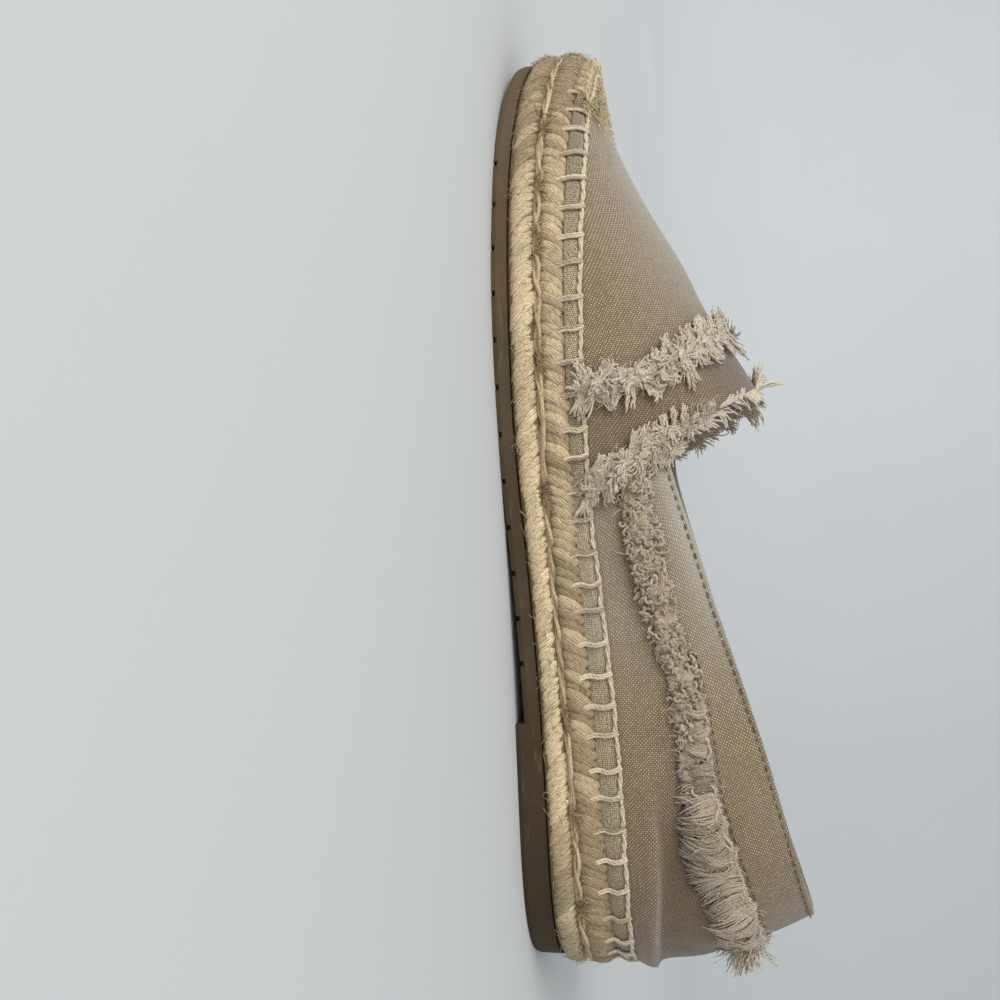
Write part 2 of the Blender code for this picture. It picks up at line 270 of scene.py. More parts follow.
def side_wall(tau, s, inset=WALL_INSET, drop=0.0):
    """Point on a rib of the quarter that runs from the sole to the topline."""
    tau, s = np.broadcast_arrays(np.asarray(tau, float), np.asarray(s, float))
    t = np.minimum(np.abs(tau), FOOT)
    sg = np.where(tau >= 0, 1.0, -1.0)
    p, n = outline(t * sg)
    foot = p - n * inset
    x_foot = -HALF * np.cos(t)
    z0 = jute_top(x_foot) + GAP
    lean, out, fwd = lean_in(x_foot), belly(x_foot), forward(x_foot)
    top_x = foot[..., 0] - n[..., 0] * lean + fwd
    top_z = topline_z(np.minimum(top_x + n[..., 0] * (inset - WALL_INSET), CORNER_X))
    sag = np.sin(np.pi * np.clip((top_x - CORNER_X) / (-105.0 - CORNER_X), 0, 1)) ** 0.7
    top_z = top_z - np.where(sg < 0, INNER_DROP * sag, 0.0)
    weight = smooth(x_foot, -32.0, INSTEP_BASE_X)
    s = np.clip(s, 0.0, 1.0)
    inward = lean * s ** 2.1 - out * np.sin(np.pi * np.minimum(s / 0.62, 1.0))
    plain = np.stack([foot[..., 0] - n[..., 0] * inward + fwd * s,
                      foot[..., 1] - n[..., 1] * inward,
                      z0 + (top_z - z0) * s], -1)
    edge = np.full_like(t, FOOT) * sg
    ref = arch(edge, s * corner_s, inset, drop)
    ref0 = arch(edge, 0.0 * s, inset, drop)
    ref1 = arch(edge, 0.0 * s + corner_s, inset, drop)
    bent = np.stack([ref[..., 0] + foot[..., 0] - ref0[..., 0],
                     ref[..., 1] + foot[..., 1] - ref0[..., 1],
                     z0 + (ref[..., 2] - ref0[..., 2]) * (top_z - z0)
                     / (ref1[..., 2] - ref0[..., 2])], -1)
    w = weight[..., None]
    return plain * (1 - w) + bent * w


def normal_of(surface, tau, s):
    e = 0.006
    lo, hi = np.clip(s - e, 0, 1), np.clip(s + e, 0, 1)
    ds = surface(tau, hi) - surface(tau, lo)
    dt = surface(tau + e, s) - surface(tau - e, s)
    near_toe = np.abs(np.abs(tau) - np.pi) < 2 * e
    n = np.cross(ds, dt)
    n = unit(n)
    # at the toe tip the two sides meet, so the rib alone gives the normal
    tip = unit(np.stack([ds[..., 2], 0 * ds[..., 0], -ds[..., 0]], -1))
    return np.where(near_toe[..., None], tip, n)


def foot_x(tau):
    return -HALF * np.cos(np.abs(tau))


# Small steps where one canvas panel lies over another, and the creases.
def arch_relief(tau, s):
    """Height of the outer canvas over the plain form, vamp and instep band."""
    xf = foot_x(tau)
    on_vamp = smooth(xf - vamp_edge_foot(s), -0.7, 0.7)
    d = 0.15 + 0.6 * on_vamp
    p = arch(tau, s)
    x, y, z = p[..., 0], p[..., 1], p[..., 2]
    side = np.where(tau >= 0, 1.0, -1.0)
    # soft drag folds over the toes and the flex line behind the ball
    d += 0.22 * np.sin(x * 0.15 + 0.9 * side + y * 0.05) * smooth(s, 0.1, 0.5) * smooth(x, 55, 80)
    d -= 0.45 * np.exp(-((x - 88 + 0.18 * np.abs(y)) / 4.0) ** 2) * smooth(s, 0.15, 0.4) * (1 - smooth(s, 0.5, 0.9))
    d -= 0.40 * np.exp(-((x - 69 + 0.30 * np.abs(y)) / 5.0) ** 2) * smooth(s, 0.2, 0.5) * (1 - smooth(s, 0.6, 1.0))
    d += 0.25 * np.sin(x * 0.11 - z * 0.16 + side) * smooth(s, 0.08, 0.3)
    return d + stitch_pull(tau, arc_up(arch, tau, s))


def side_relief(tau, s):
    """The same for the quarter, with the fold round the slack heel."""
    xf = foot_x(tau)
    over = smooth(s - collar_edge(xf), -0.012, 0.012)
    d = -0.75 + 0.75 * over
    p = side_wall(tau, s)
    x, y, z = p[..., 0], p[..., 1], p[..., 2]
    side = np.where(tau >= 0, 1.0, -1.0)
    heel = smooth(-x, 56.0, 94.0)
    line = 33.2 + 1.2 * np.sin(x * 0.07 + side)
    # roll of slack canvas: a soft ridge, then a trough right above it
    d += heel * (0.85 * np.exp(-((z - line + 1.2) / 3.0) ** 2)
                 - 1.7 * smooth(z - line, -0.3, 1.0) * (1 - smooth(z - line, 4.0, 17.0)))
    # short drag lines that fan out of the trough
    for k, (x0, tilt, depth) in enumerate([(-98, 0.55, 0.45), (-106, 0.35, 0.5),
                                           (-113, 0.15, 0.4), (-90, 0.8, 0.3)]):
        run = (x - x0) + tilt * (z - 38.0)
        d -= 0.6 * depth * np.exp(-(run / 1.5) ** 2) * smooth(z, 32, 37) * (1 - smooth(z, 50, 56)) * heel
    # long shallow hollow along the side of the quarter
    d -= 0.7 * np.exp(-((z - 30.0 + 0.06 * (x + 40)) / 5.0) ** 2) * smooth(x, -85, -45) * (1 - smooth(x, -25, 0))
    d += 0.18 * np.sin(x * 0.13 + z * 0.15 + 1.7 * side) + 0.08 * np.sin(x * 0.27 - z * 0.12)
    # fold and seam of the topline: a slight roll at the very edge
    top = (1.0 - s) * (topline_z(np.clip(x, -109, 15)) - 18.0)
    d += 0.22 * np.exp(-(top / 0.6) ** 2) - 0.20 * np.exp(-((top - 1.05) / 0.6) ** 2)
    return d + stitch_pull(tau, arc_up(side_wall, tau, s))


def painted_shading(kind, p, tau, s):
    """Painted shade on the canvas: the heel fold, under the fringes, the instep band, the low strip at the toe and the
    heel end. Below zero it paints light: sheen near the vamp's ridge and at the collar front, there partly real wear,
    and a paler middle of the quarter.
    """
    x, y, z = p[..., 0], p[..., 1], p[..., 2]
    if kind == "v":
        edge = vamp_edge_foot(s) - foot_x(tau)
        band = smooth(edge, -1.0, 1.0)
        # painted sheen: the vamp paler up towards the ridge in the toe half
        painted_sheen = (1 - band) * smooth(s, 0.30, 0.80) * smooth(x, 50.0, 90.0)
        # painted shade: the low strip over the sole darker towards the toe
        strip = (1 - smooth(s, 0.09, 0.15)) * smooth(x, 50.0, 100.0)
        # painted shade on the instep band, deeper towards the ridge, and on the vamp just under its fringe
        return (band * (0.36 + 0.62 * smooth(s, 0.40, 0.80)) + 0.18 * np.exp(-((edge + 3.0) / 3.0) ** 2)
                - 0.34 * painted_sheen + 0.80 * strip)
    # quarter: painted shade in the heel fold and its drag lines, under the collar band's edge and towards the heel end
    heel = smooth(-x, 60.0, 96.0)
    line = 33.2 + 1.2 * np.sin(x * 0.07 + 1.0)
    right = smooth(z - line, -0.1, 0.9) * (1 - smooth(z - line, 7.0, 22.0))
    right = right + 0.35 * np.exp(-((z - line - 0.5) / 0.6) ** 2)
    fan = sum(np.exp(-((x - x0 + tilt * (z - 38.0)) / 1.1) ** 2) for x0, tilt in
              ((-98, 0.55), (-106, 0.35), (-113, 0.15), (-90, 0.8))) * smooth(z, 32, 37) * (1 - smooth(z, 46, 54))
    cut = collar_edge(foot_x(tau)) - s
    under = smooth(cut, -0.02, 0.02) * np.exp(-(cut / 0.24) ** 2)
    # painted sheen at the collar front, partly real wear
    painted_light_mask = smooth(s, 0.72, 0.98) * smooth(x, -46.0, -6.0)
    return np.clip(heel * (0.92 * right + 0.22 * fan) + 0.22 * under - 0.10 - 0.14 * smooth(x, -62.0, -26.0)
                   + 0.46 * smooth(-x, 30.0, 112.0) - 0.70 * painted_light_mask, -1, 1)


ARC_STEPS = 24


def arc_up(surface, tau, s):
    """Length of the rib from the sole up to s."""
    tau, s = np.broadcast_arrays(tau, s)
    k = np.linspace(0.0, 1.0, ARC_STEPS)
    pts = surface(tau[..., None], s[..., None] * k)
    return np.linalg.norm(np.diff(pts, axis=-2), axis=-1).sum(-1)


def share_at(surface, tau, length):
    """The share s at which the rib is that long."""
    tau, length = np.broadcast_arrays(np.asarray(tau, float), np.asarray(length, float))
    k = np.linspace(0.0, 1.0, 90)
    pts = surface(tau[..., None], k * np.ones(tau.shape + (1,)))
    arc = np.concatenate([np.zeros(tau.shape + (1,)),
                          np.cumsum(np.linalg.norm(np.diff(pts, axis=-2), axis=-1), -1)], -1)
    out = np.empty(tau.shape)
    for i in np.ndindex(tau.shape):
        out[i] = np.interp(length[i], arc[i], k)
    return out


# --------------------------------------------------------- length round sole
_ring_tau = np.linspace(-np.pi, np.pi, 6001)
_ring_xy = outline_xy(_ring_tau)
_ring_len = np.concatenate([[0.0], np.cumsum(np.linalg.norm(np.diff(_ring_xy, axis=0), axis=1))])
GIRTH = float(_ring_len[-1])


def tau_at(length):
    return np.interp(np.mod(length, GIRTH), _ring_len, _ring_tau)


def length_at(tau):
    return np.interp(tau, _ring_tau, _ring_len)


# Stitch places round the sole, closer at the toe, each a little uneven.
def stitch_places():
    places, at = [], 1.5
    while at < GIRTH - 2.0:
        places.append(at)
        x = foot_x(tau_at(at))
        step = 7.6 - 2.0 * float(smooth(x, 80, 118)) + rng.uniform(-0.7, 0.7)
        at += step
    places = np.array(places)
    return places * (GIRTH / (places[-1] + 6.2)) if GIRTH - places[-1] < 3.5 else places


STITCHES = stitch_places()


def stitch_pull(tau, arc):
    """Canvas drawn in along the blanket stitch, more at each stitch."""
    xf = foot_x(tau)
    line = stitch_height(xf)
    ell = length_at(tau)
    i = np.searchsorted(STITCHES, ell)
    near = np.minimum(np.abs(ell - STITCHES[np.clip(i, 0, len(STITCHES) - 1)]),
                      np.abs(ell - STITCHES[np.clip(i - 1, 0, len(STITCHES) - 1)]))
    knot = np.exp(-(near / 1.3) ** 2)
    d = -(0.45 + 0.25 * knot) * np.exp(-((arc - line) / 0.75) ** 2)
    d = d + 0.25 * np.exp(-((arc - line + 2.3) / 1.3) ** 2) * (1 - 1.3 * knot)
    return d


def on_arch(tau, s, lift):
    """Point lift mm above the finished canvas of vamp and band.

    Past the ridge it goes on down the other side; below the sole's edge it
    hangs straight down.
    """
    tau, s, lift = np.broadcast_arrays(tau, s, lift)
    over = s > 1.0
    tau = np.where(over, -tau, tau)
    s2 = np.where(over, 2.0 - s, s)
    below = np.minimum(s2, 0.0)
    s3 = np.clip(s2, 0.0, 1.0)
    p = arch(tau, s3)
    n = normal_of(arch, tau, s3)
    h = lift + arch_relief_plain(tau, s3)
    p = p + n * h[..., None]
    p[..., 2] += below * 60.0
    p += n * (-below * 8.0)[..., None]
    return p, n


def arch_relief_plain(tau, s):
    return 0.15 + 0.6 * smooth(foot_x(tau) - vamp_edge_foot(s), -0.7, 0.7)


def on_side(tau, s, lift):
    tau, s, lift = np.broadcast_arrays(tau, s, lift)
    s3 = np.clip(s, 0.0, 1.0)
    p = side_wall(tau, s3)
    n = normal_of(side_wall, tau, s3)
    over = smooth(s3 - collar_edge(foot_x(tau)), -0.012, 0.012)
    h = lift - 0.75 + 0.75 * over
    return p + n * h[..., None], n


# ----------------------------------------------------------------- materials
def srgb(r, g, b):
    def f(c):
        c /= 255.0
        return c / 12.92 if c <= 0.04045 else ((c + 0.055) / 1.055) ** 2.4
    return (f(r), f(g), f(b), 1.0)


class Nodes:
    """Small helper to write node trees."""

    def __init__(self, name):
        self.mat = bpy.data.materials.new(name)
        self.mat.use_nodes = True
        self.tree = self.mat.node_tree
        self.bsdf = self.tree.nodes["Principled BSDF"]

    def add(self, kind, **props):
        node = self.tree.nodes.new(kind)
        for k, v in props.items():
            setattr(node, k, v)
        return node

    def wire(self, src, dst):
        self.tree.links.new(src, dst)

    def put(self, socket, value):
        if isinstance(value, bpy.types.NodeSocket):
            self.wire(value, socket)
        else:
            socket.default_value = value

    def math(self, op, a, b=None, c=None, clamp=False):
        n = self.add("ShaderNodeMath", operation=op, use_clamp=clamp)
        self.put(n.inputs[0], a)
        if b is not None:
            self.put(n.inputs[1], b)
        if c is not None:
            self.put(n.inputs[2], c)
        return n.outputs[0]

    def mix(self, fac, a, b, blend="MIX"):
        n = self.add("ShaderNodeMix", data_type="RGBA", blend_type=blend)
        self.put(n.inputs[0], fac)
        self.put(n.inputs[6], a)
        self.put(n.inputs[7], b)
        return n.outputs[2]

    def noise(self, vector, scale, detail=3.0, rough=0.55, distortion=0.0):
        n = self.add("ShaderNodeTexNoise")
        self.wire(vector, n.inputs["Vector"])
        n.inputs["Scale"].default_value = scale
        n.inputs["Detail"].default_value = detail
        n.inputs["Roughness"].default_value = rough
        n.inputs["Distortion"].default_value = distortion
        return n.outputs["Fac"]

    def ramp(self, fac, stops):
        n = self.add("ShaderNodeValToRGB")
        self.wire(fac, n.inputs[0])
        el = n.color_ramp.elements
        while len(el) < len(stops):
            el.new(0.5)
        for e, (pos, col) in zip(el, stops):
            e.position = pos
            e.color = col
        return n.outputs[0]

    def scale(self, vector, xyz):
        n = self.add("ShaderNodeVectorMath", operation="MULTIPLY")
        self.wire(vector, n.inputs[0])
        n.inputs[1].default_value = xyz
        return n.outputs[0]

    def bump(self, height, strength, distance, normal=None):
        n = self.add("ShaderNodeBump")
        n.inputs["Strength"].default_value = strength
        n.inputs["Distance"].default_value = distance
        self.wire(height, n.inputs["Height"])
        if normal is not None:
            self.wire(normal, n.inputs["Normal"])
        return n.outputs[0]

    def xyz(self, vector):
        n = self.add("ShaderNodeSeparateXYZ")
        self.wire(vector, n.inputs[0])
        return n.outputs

    def uv(self):
        return self.add("ShaderNodeTexCoord").outputs["UV"]

    def obj(self):
        return self.add("ShaderNodeTexCoord").outputs["Object"]

    def attr(self, name):
        return self.add("ShaderNodeAttribute", attribute_name=name).outputs["Fac"]

    def finish(self, colour, rough, normal=None, specular=0.3, sheen=0.0, sheen_rough=0.5):
        self.put(self.bsdf.inputs["Base Color"], colour)
        self.put(self.bsdf.inputs["Roughness"], rough)
        self.bsdf.inputs["Specular IOR Level"].default_value = specular
        if sheen:
            self.bsdf.inputs["Sheen Weight"].default_value = sheen
            self.bsdf.inputs["Sheen Roughness"].default_value = sheen_rough
        if normal is not None:
            self.wire(normal, self.bsdf.inputs["Normal"])
        return self.mat


def canvas_material(name, yarn_a, yarn_b, gap, pitch=0.48, depth=0.00020, plain=False):
    """Plain weave drawn in the cloth's own millimetres, which are its UVs.

    The point value "line" is the height over the blanket stitch: below it the
    cloth is bunched up and shows coarser flecks. The other point value paints
    shade into the folds and under the fringes, and below zero paints sheen.
    """
    m = Nodes(name)
    uv = m.uv()
    where = m.obj()
    wander = m.noise(m.scale(uv, (0.05, 0.05, 1.0)), 1.0, 2.0)
    u0, v0, _ = m.xyz(uv)
    u = m.math("ADD", u0, m.math("MULTIPLY", wander, 2.2))
    v = m.math("ADD", v0, m.math("MULTIPLY", wander, 1.5))
    su = m.math("SINE", m.math("MULTIPLY", u, math.pi / pitch))
    sv = m.math("SINE", m.math("MULTIPLY", v, math.pi / (pitch * 0.94)))
    prod = m.math("MULTIPLY", su, sv)
    over = m.math("GREATER_THAN", prod, 0.0)
    knob = m.math("POWER", m.math("ABSOLUTE", prod), 0.6)
    slub_u = m.noise(m.scale(uv, (0.10, 1.7, 1.0)), 1.0, 2.0)
    slub_v = m.noise(m.scale(uv, (1.6, 0.09, 1.0)), 1.0, 2.0)
    fibre = m.noise(m.scale(uv, (6.0, 6.0, 1.0)), 1.0, 3.0, 0.7)
    tone = m.noise(where, 30.0, 4.0, 0.6)
    a = m.mix(m.math("MULTIPLY_ADD", slub_u, 1.8, -0.5, clamp=True), yarn_a, m.mix(0.5, yarn_a, yarn_b))
    b = m.mix(m.math("MULTIPLY_ADD", slub_v, 1.8, -0.4, clamp=True), yarn_b, m.mix(0.4, yarn_b, gap))
    cell = m.add("ShaderNodeCombineXYZ")
    m.wire(m.math("FLOOR", m.math("MULTIPLY", u, 1.0 / pitch)), cell.inputs[0])
    m.wire(m.math("FLOOR", m.math("MULTIPLY", v, 1.0 / (pitch * 0.94))), cell.inputs[1])
    dice = m.add("ShaderNodeTexWhiteNoise")
    m.wire(cell.outputs[0], dice.inputs["Vector"])
    each = dice.outputs["Value"]
    yarn = m.mix(over, b, a)
    yarn = m.mix(m.math("MULTIPLY", each, 0.55), yarn, m.mix(0.5, gap, yarn_b))
    lit = m.mix(m.math("MULTIPLY_ADD", knob, 1.7, -0.22, clamp=True), gap, yarn)
    height = m.math("ADD", m.math("MULTIPLY", knob, m.math("MULTIPLY_ADD", over, 0.45, 0.6)),
                    m.math("MULTIPLY", fibre, 0.25))
    if not plain:
        line = m.attr("line")
        low = m.math("LESS_THAN", line, -0.1)
        # flecks that slant one way and the other, as in a knitted tape
        turnv = m.math("ABSOLUTE", m.math("SUBTRACT", m.math("FRACT", m.math("MULTIPLY", v0, 1.0 / 3.0)), 0.5))
        shear = m.add("ShaderNodeCombineXYZ")
        m.wire(m.math("MULTIPLY", m.math("SUBTRACT", u0, m.math("MULTIPLY", turnv, 1.2)), 3.4), shear.inputs[0])
        m.wire(m.math("MULTIPLY", v0, 1.9), shear.inputs[1])
        k = m.noise(shear.outputs[0], 1.0, 2.0, 0.6)
        fleck = m.math("MULTIPLY_ADD", m.math("ADD", k, m.math("MULTIPLY", knob, 0.34)), 5.0, -2.62, clamp=True)
        strip = m.mix(fleck, srgb(82, 68, 45), srgb(204, 186, 150))
        lit = m.mix(low, lit, strip)
        height = m.math("ADD", m.math("MULTIPLY", height, m.math("SUBTRACT", 1.0, low)),
                        m.math("MULTIPLY", fleck, m.math("MULTIPLY", low, 1.4)))
        # painted shade: the canvas darkened towards deep brown where the point value is above zero; painted sheen:
        # paler grey where it is below zero
        painted_shading = m.attr("painted_shading")
        lit = m.mix(m.math("MAXIMUM", painted_shading, 0.0), lit, m.mix(0.66, lit, srgb(72, 50, 29)))
        pale = m.math("MAXIMUM", m.math("MULTIPLY", painted_shading, -1.0), 0.0)
        lit = m.mix(pale, lit, m.mix(0.55, lit, srgb(206, 202, 190)))
    lit = m.mix(0.40, lit, m.ramp(tone, [(0.32, (0.74, 0.72, 0.69, 1)), (0.66, (1, 1, 1, 1))]), "MULTIPLY")
    lit = m.mix(0.25, lit, m.ramp(fibre, [(0.25, (0.6, 0.6, 0.6, 1)), (0.75, (1, 1, 1, 1))]), "MULTIPLY")
    n = m.bump(height, 0.9, depth)
    return m.finish(lit, 0.92, n, specular=0.16, sheen=0.50, sheen_rough=0.40)


def yarn_material(name, light, mid, dark, line_pitch=0.30, slant=0.5, depth=0.00012, rough=0.9,
                  sheen=0.1, dirt=None):
    """Fibres that run along a strand: UV x goes round it, y along it, in mm."""
    m = Nodes(name)
    uv = m.uv()
    tint = m.attr("tint")
    u, v, _ = m.xyz(uv)
    warp = m.noise(m.scale(uv, (0.9, 0.25, 1.0)), 1.0, 2.0)
    k = m.math("ADD", m.math("MULTIPLY_ADD", v, slant, u), m.math("MULTIPLY", warp, 1.2))
    lines = m.math("SINE", m.math("MULTIPLY", k, 2 * math.pi / line_pitch))
    fine = m.noise(m.scale(uv, (7.0, 1.1, 1.0)), 1.0, 3.0, 0.65)
    mixv = m.math("ADD", m.math("MULTIPLY", lines, 0.20), fine)
    base = m.ramp(mixv, [(0.22, dark), (0.50, mid), (0.78, light)])
    shade = m.ramp(tint, [(0.0, (0.50, 0.475, 0.44, 1)), (0.3, (0.80, 0.78, 0.75, 1)), (0.6, (0.95, 0.94, 0.92, 1)),
                          (1.0, (1.15, 1.14, 1.12, 1))])
    col = m.mix(1.0, base, shade, "MULTIPLY")
    if dirt is not None:
        spot = m.noise(m.obj(), 55.0, 4.0, 0.6)
        col = m.mix(m.ramp(spot, [(0.60, (0, 0, 0, 1)), (0.78, (0.75, 0.75, 0.75, 1))]), col, dirt)
    n = m.bump(mixv, 0.85, depth)
    return m.finish(col, rough, n, specular=0.2, sheen=sheen)


def rubber_material():
    m = Nodes("rubber_brown")
    p = m.obj()
    cloud = m.noise(p, 60.0, 4.0, 0.6)
    grain = m.noise(p, 1400.0, 3.0, 0.6)
    scuff = m.noise(m.scale(p, (90.0, 90.0, 700.0)), 1.0, 3.0, 0.7)
    col = m.ramp(cloud, [(0.3, srgb(78, 63, 44)), (0.55, srgb(91, 75, 54)), (0.8, srgb(104, 87, 65))])
    x, _, _ = m.xyz(p)
    # painted shade: the rubber darker towards the heel
    painted_light_mask = m.math("MULTIPLY_ADD", x, -6.5, 0.45, clamp=True)
    col = m.mix(painted_light_mask, col, m.mix(0.74, col, srgb(40, 30, 18)))
    col = m.mix(m.ramp(scuff, [(0.62, (0, 0, 0, 1)), (0.80, (0.35, 0.35, 0.35, 1))]), col, srgb(140, 122, 98))
    rough = m.ramp(cloud, [(0.2, (0.62, 0.62, 0.62, 1)), (0.9, (0.80, 0.80, 0.80, 1))])
    h = m.math("ADD", m.math("MULTIPLY", grain, 0.5), m.math("MULTIPLY", scuff, 0.5))
    return m.finish(col, rough, m.bump(h, 0.35, 0.00015), specular=0.24)


def cloth_material(name, light, dark, scale):
    m = Nodes(name)
    p = m.obj()
    a = m.noise(m.scale(p, (scale, scale * 0.25, scale)), 1.0, 3.0, 0.7)
    b = m.noise(m.scale(p, (scale * 0.25, scale, scale)), 1.0, 3.0, 0.7)
    w = m.math("MULTIPLY", m.math("ADD", a, b), 0.5)
    stain = m.noise(p, 22.0, 4.0, 0.6)
    col = m.ramp(w, [(0.36, dark), (0.62, light)])
    col = m.mix(0.5, col, m.ramp(stain, [(0.3, (0.74, 0.71, 0.67, 1)), (0.7, (1, 1, 1, 1))]), "MULTIPLY")
    return m.finish(col, 0.93, m.bump(w, 0.7, 0.0003), specular=0.15, sheen=0.1)


MAT = {
    "canvas": canvas_material("canvas_taupe", srgb(216, 199, 166), srgb(150, 131, 102), srgb(88, 72, 50)),
    "lining": canvas_material("lining_greige", srgb(206, 196, 175), srgb(188, 177, 155), srgb(142, 128, 106),
                              0.46, 0.0001, plain=True),
    "jute": yarn_material("jute_strand", srgb(226, 208, 176), srgb(203, 183, 147), srgb(136, 114, 80),
                          0.40, 0.14, 0.00022, dirt=srgb(146, 118, 82)),
    "knot": yarn_material("jute_knot", srgb(198, 174, 137), srgb(172, 145, 107), srgb(128, 102, 70), 0.3, 0.2),
    # the core shows only in the gaps between strands; its jute is darker than theirs: painted shade in the gaps
    "jute_core": yarn_material("jute_core_shaded", srgb(176, 154, 116), srgb(140, 118, 82), srgb(88, 70, 46),
                               0.5, 0.3, 0.0003),
    "sewing": yarn_material("jute_sewing_cord", srgb(220, 200, 165), srgb(196, 175, 139), srgb(128, 104, 70),
                            0.35, 0.3, 0.0002),
    "thread": yarn_material("stitch_thread", srgb(215, 202, 178), srgb(197, 183, 157), srgb(153, 137, 111),
                            0.60, 0.45, 0.00012),
    "fringe": yarn_material("fringe_yarn", srgb(226, 213, 192), srgb(203, 189, 166), srgb(140, 124, 99),
                            0.36, 0.35, 0.00014, sheen=0.6),
    "fringe_worn": yarn_material("fringe_yarn_worn", srgb(206, 191, 166), srgb(176, 160, 134), srgb(108, 91, 68),
                                 0.30, 0.3, 0.00014, sheen=0.6),
    "hem": yarn_material("hem_thread", srgb(150, 133, 105), srgb(126, 109, 83), srgb(90, 75, 53),
                         0.2, 0.8, 0.00006),
    "rubber": rubber_material(),
    "footbed": cloth_material("footbed_cloth", srgb(196, 184, 160), srgb(158, 144, 116), 1500.0),
}


# ------------------------------------------------------------ mesh builders
def make(name, verts, faces, mats, uv=None, tint=None, face_mat=None, merge=0.0, marks=None):
    """Mesh object from millimetre points; uv is one pair for each corner."""
    mesh = bpy.data.meshes.new(name)
    mesh.from_pydata((np.asarray(verts) * MM).tolist(), [], faces)
    for mat in mats:
        mesh.materials.append(mat)
    if face_mat is not None:
        mesh.polygons.foreach_set("material_index", np.asarray(face_mat, np.int32))
    if uv is not None:
        layer = mesh.uv_layers.new(name="UVMap")
        layer.data.foreach_set("uv", np.asarray(uv, np.float32).ravel())
    if tint is not None:
        a = mesh.attributes.new("tint", "FLOAT", "POINT")
        a.data.foreach_set("value", np.asarray(tint, np.float32))
    for key, values in (marks or {}).items():
        a = mesh.attributes.new(key, "FLOAT", "POINT")
        a.data.foreach_set("value", np.asarray(values, np.float32))
    mesh.shade_smooth()
    obj = bpy.data.objects.new(name, mesh)
    bpy.context.scene.collection.objects.link(obj)
    if merge:
        import bmesh
        bm = bmesh.new()
        bm.from_mesh(mesh)
        bmesh.ops.remove_doubles(bm, verts=bm.verts[:], dist=merge * MM)
        bmesh.ops.recalc_face_normals(bm, faces=bm.faces[:])
        bm.to_mesh(mesh)
        bm.free()
    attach(obj, "root")
    return obj


def tubes(centres, up, half_w, half_h, sides=6, tint=None):
    """Closed strands: centres (T, K, 3), up (T, K, 3), half widths (T, K)."""
    T, K, _ = centres.shape
    tang = unit(np.gradient(centres, axis=1))
    across = unit(np.cross(tang, up))
    n = unit(np.cross(across, tang))
    a = np.arange(sides) * 2 * np.pi / sides
    ring = (across[:, :, None, :] * (np.cos(a)[None, None, :, None] * half_w[:, :, None, None])
            + n[:, :, None, :] * (np.sin(a)[None, None, :, None] * half_h[:, :, None, None]))
    verts = (centres[:, :, None, :] + ring).reshape(-1, 3)
    t, k, j = np.meshgrid(np.arange(T), np.arange(K - 1), np.arange(sides), indexing="ij")
    base = t * K * sides
    j2 = (j + 1) % sides
    quad = np.stack([base + k * sides + j, base + (k + 1) * sides + j,
                     base + (k + 1) * sides + j2, base + k * sides + j2], -1).reshape(-1, 4)
    faces = quad.tolist()
    girth = 2 * np.pi * np.sqrt((half_w ** 2 + half_h ** 2) / 2)
    step = np.linalg.norm(np.diff(centres, axis=1), axis=-1)
    run = np.concatenate([np.zeros((T, 1)), np.cumsum(step, 1)], 1)
    start = rng.uniform(0, 40, (T, 1))
    mean_girth = girth.mean(1)
    u0 = j / sides * mean_girth[t]
    u1 = (j + 1) / sides * mean_girth[t]
    v0 = (run + start)[t, k]
    v1 = (run + start)[t, k + 1]
    uv = np.stack([np.stack([u0, v0], -1), np.stack([u0, v1], -1),
                   np.stack([u1, v1], -1), np.stack([u1, v0], -1)], -2).reshape(-1, 4, 2)
    uv = uv.reshape(-1, 2)
    heads = np.arange(T)[:, None] * K * sides + np.arange(sides)[None, :]
    tails = heads + (K - 1) * sides
    faces += heads.tolist() + tails[:, ::-1].tolist()
    cap_uv = np.zeros((2 * T * sides, 2))
    cap_uv[:, 1] = np.concatenate([np.repeat(start[:, 0], sides), np.repeat((start + run[:, -1:])[:, 0], sides)])
    uv = np.concatenate([uv, cap_uv])
    if tint is None:
        tint = rng.uniform(0, 1, T)
    return verts, faces, uv, np.repeat(tint, K * sides)


def strands(name, parts, mat):
    """One object from several sets of tubes."""
    vs, fs, us, ts, off = [], [], [], [], 0
    for v, f, u, t in parts:
        vs.append(v)
        fs += [[i + off for i in face] for face in f]
        us.append(u)
        ts.append(t)
        off += len(v)
    return make(name, np.concatenate(vs), fs, [mat], np.concatenate(us), np.concatenate(ts))


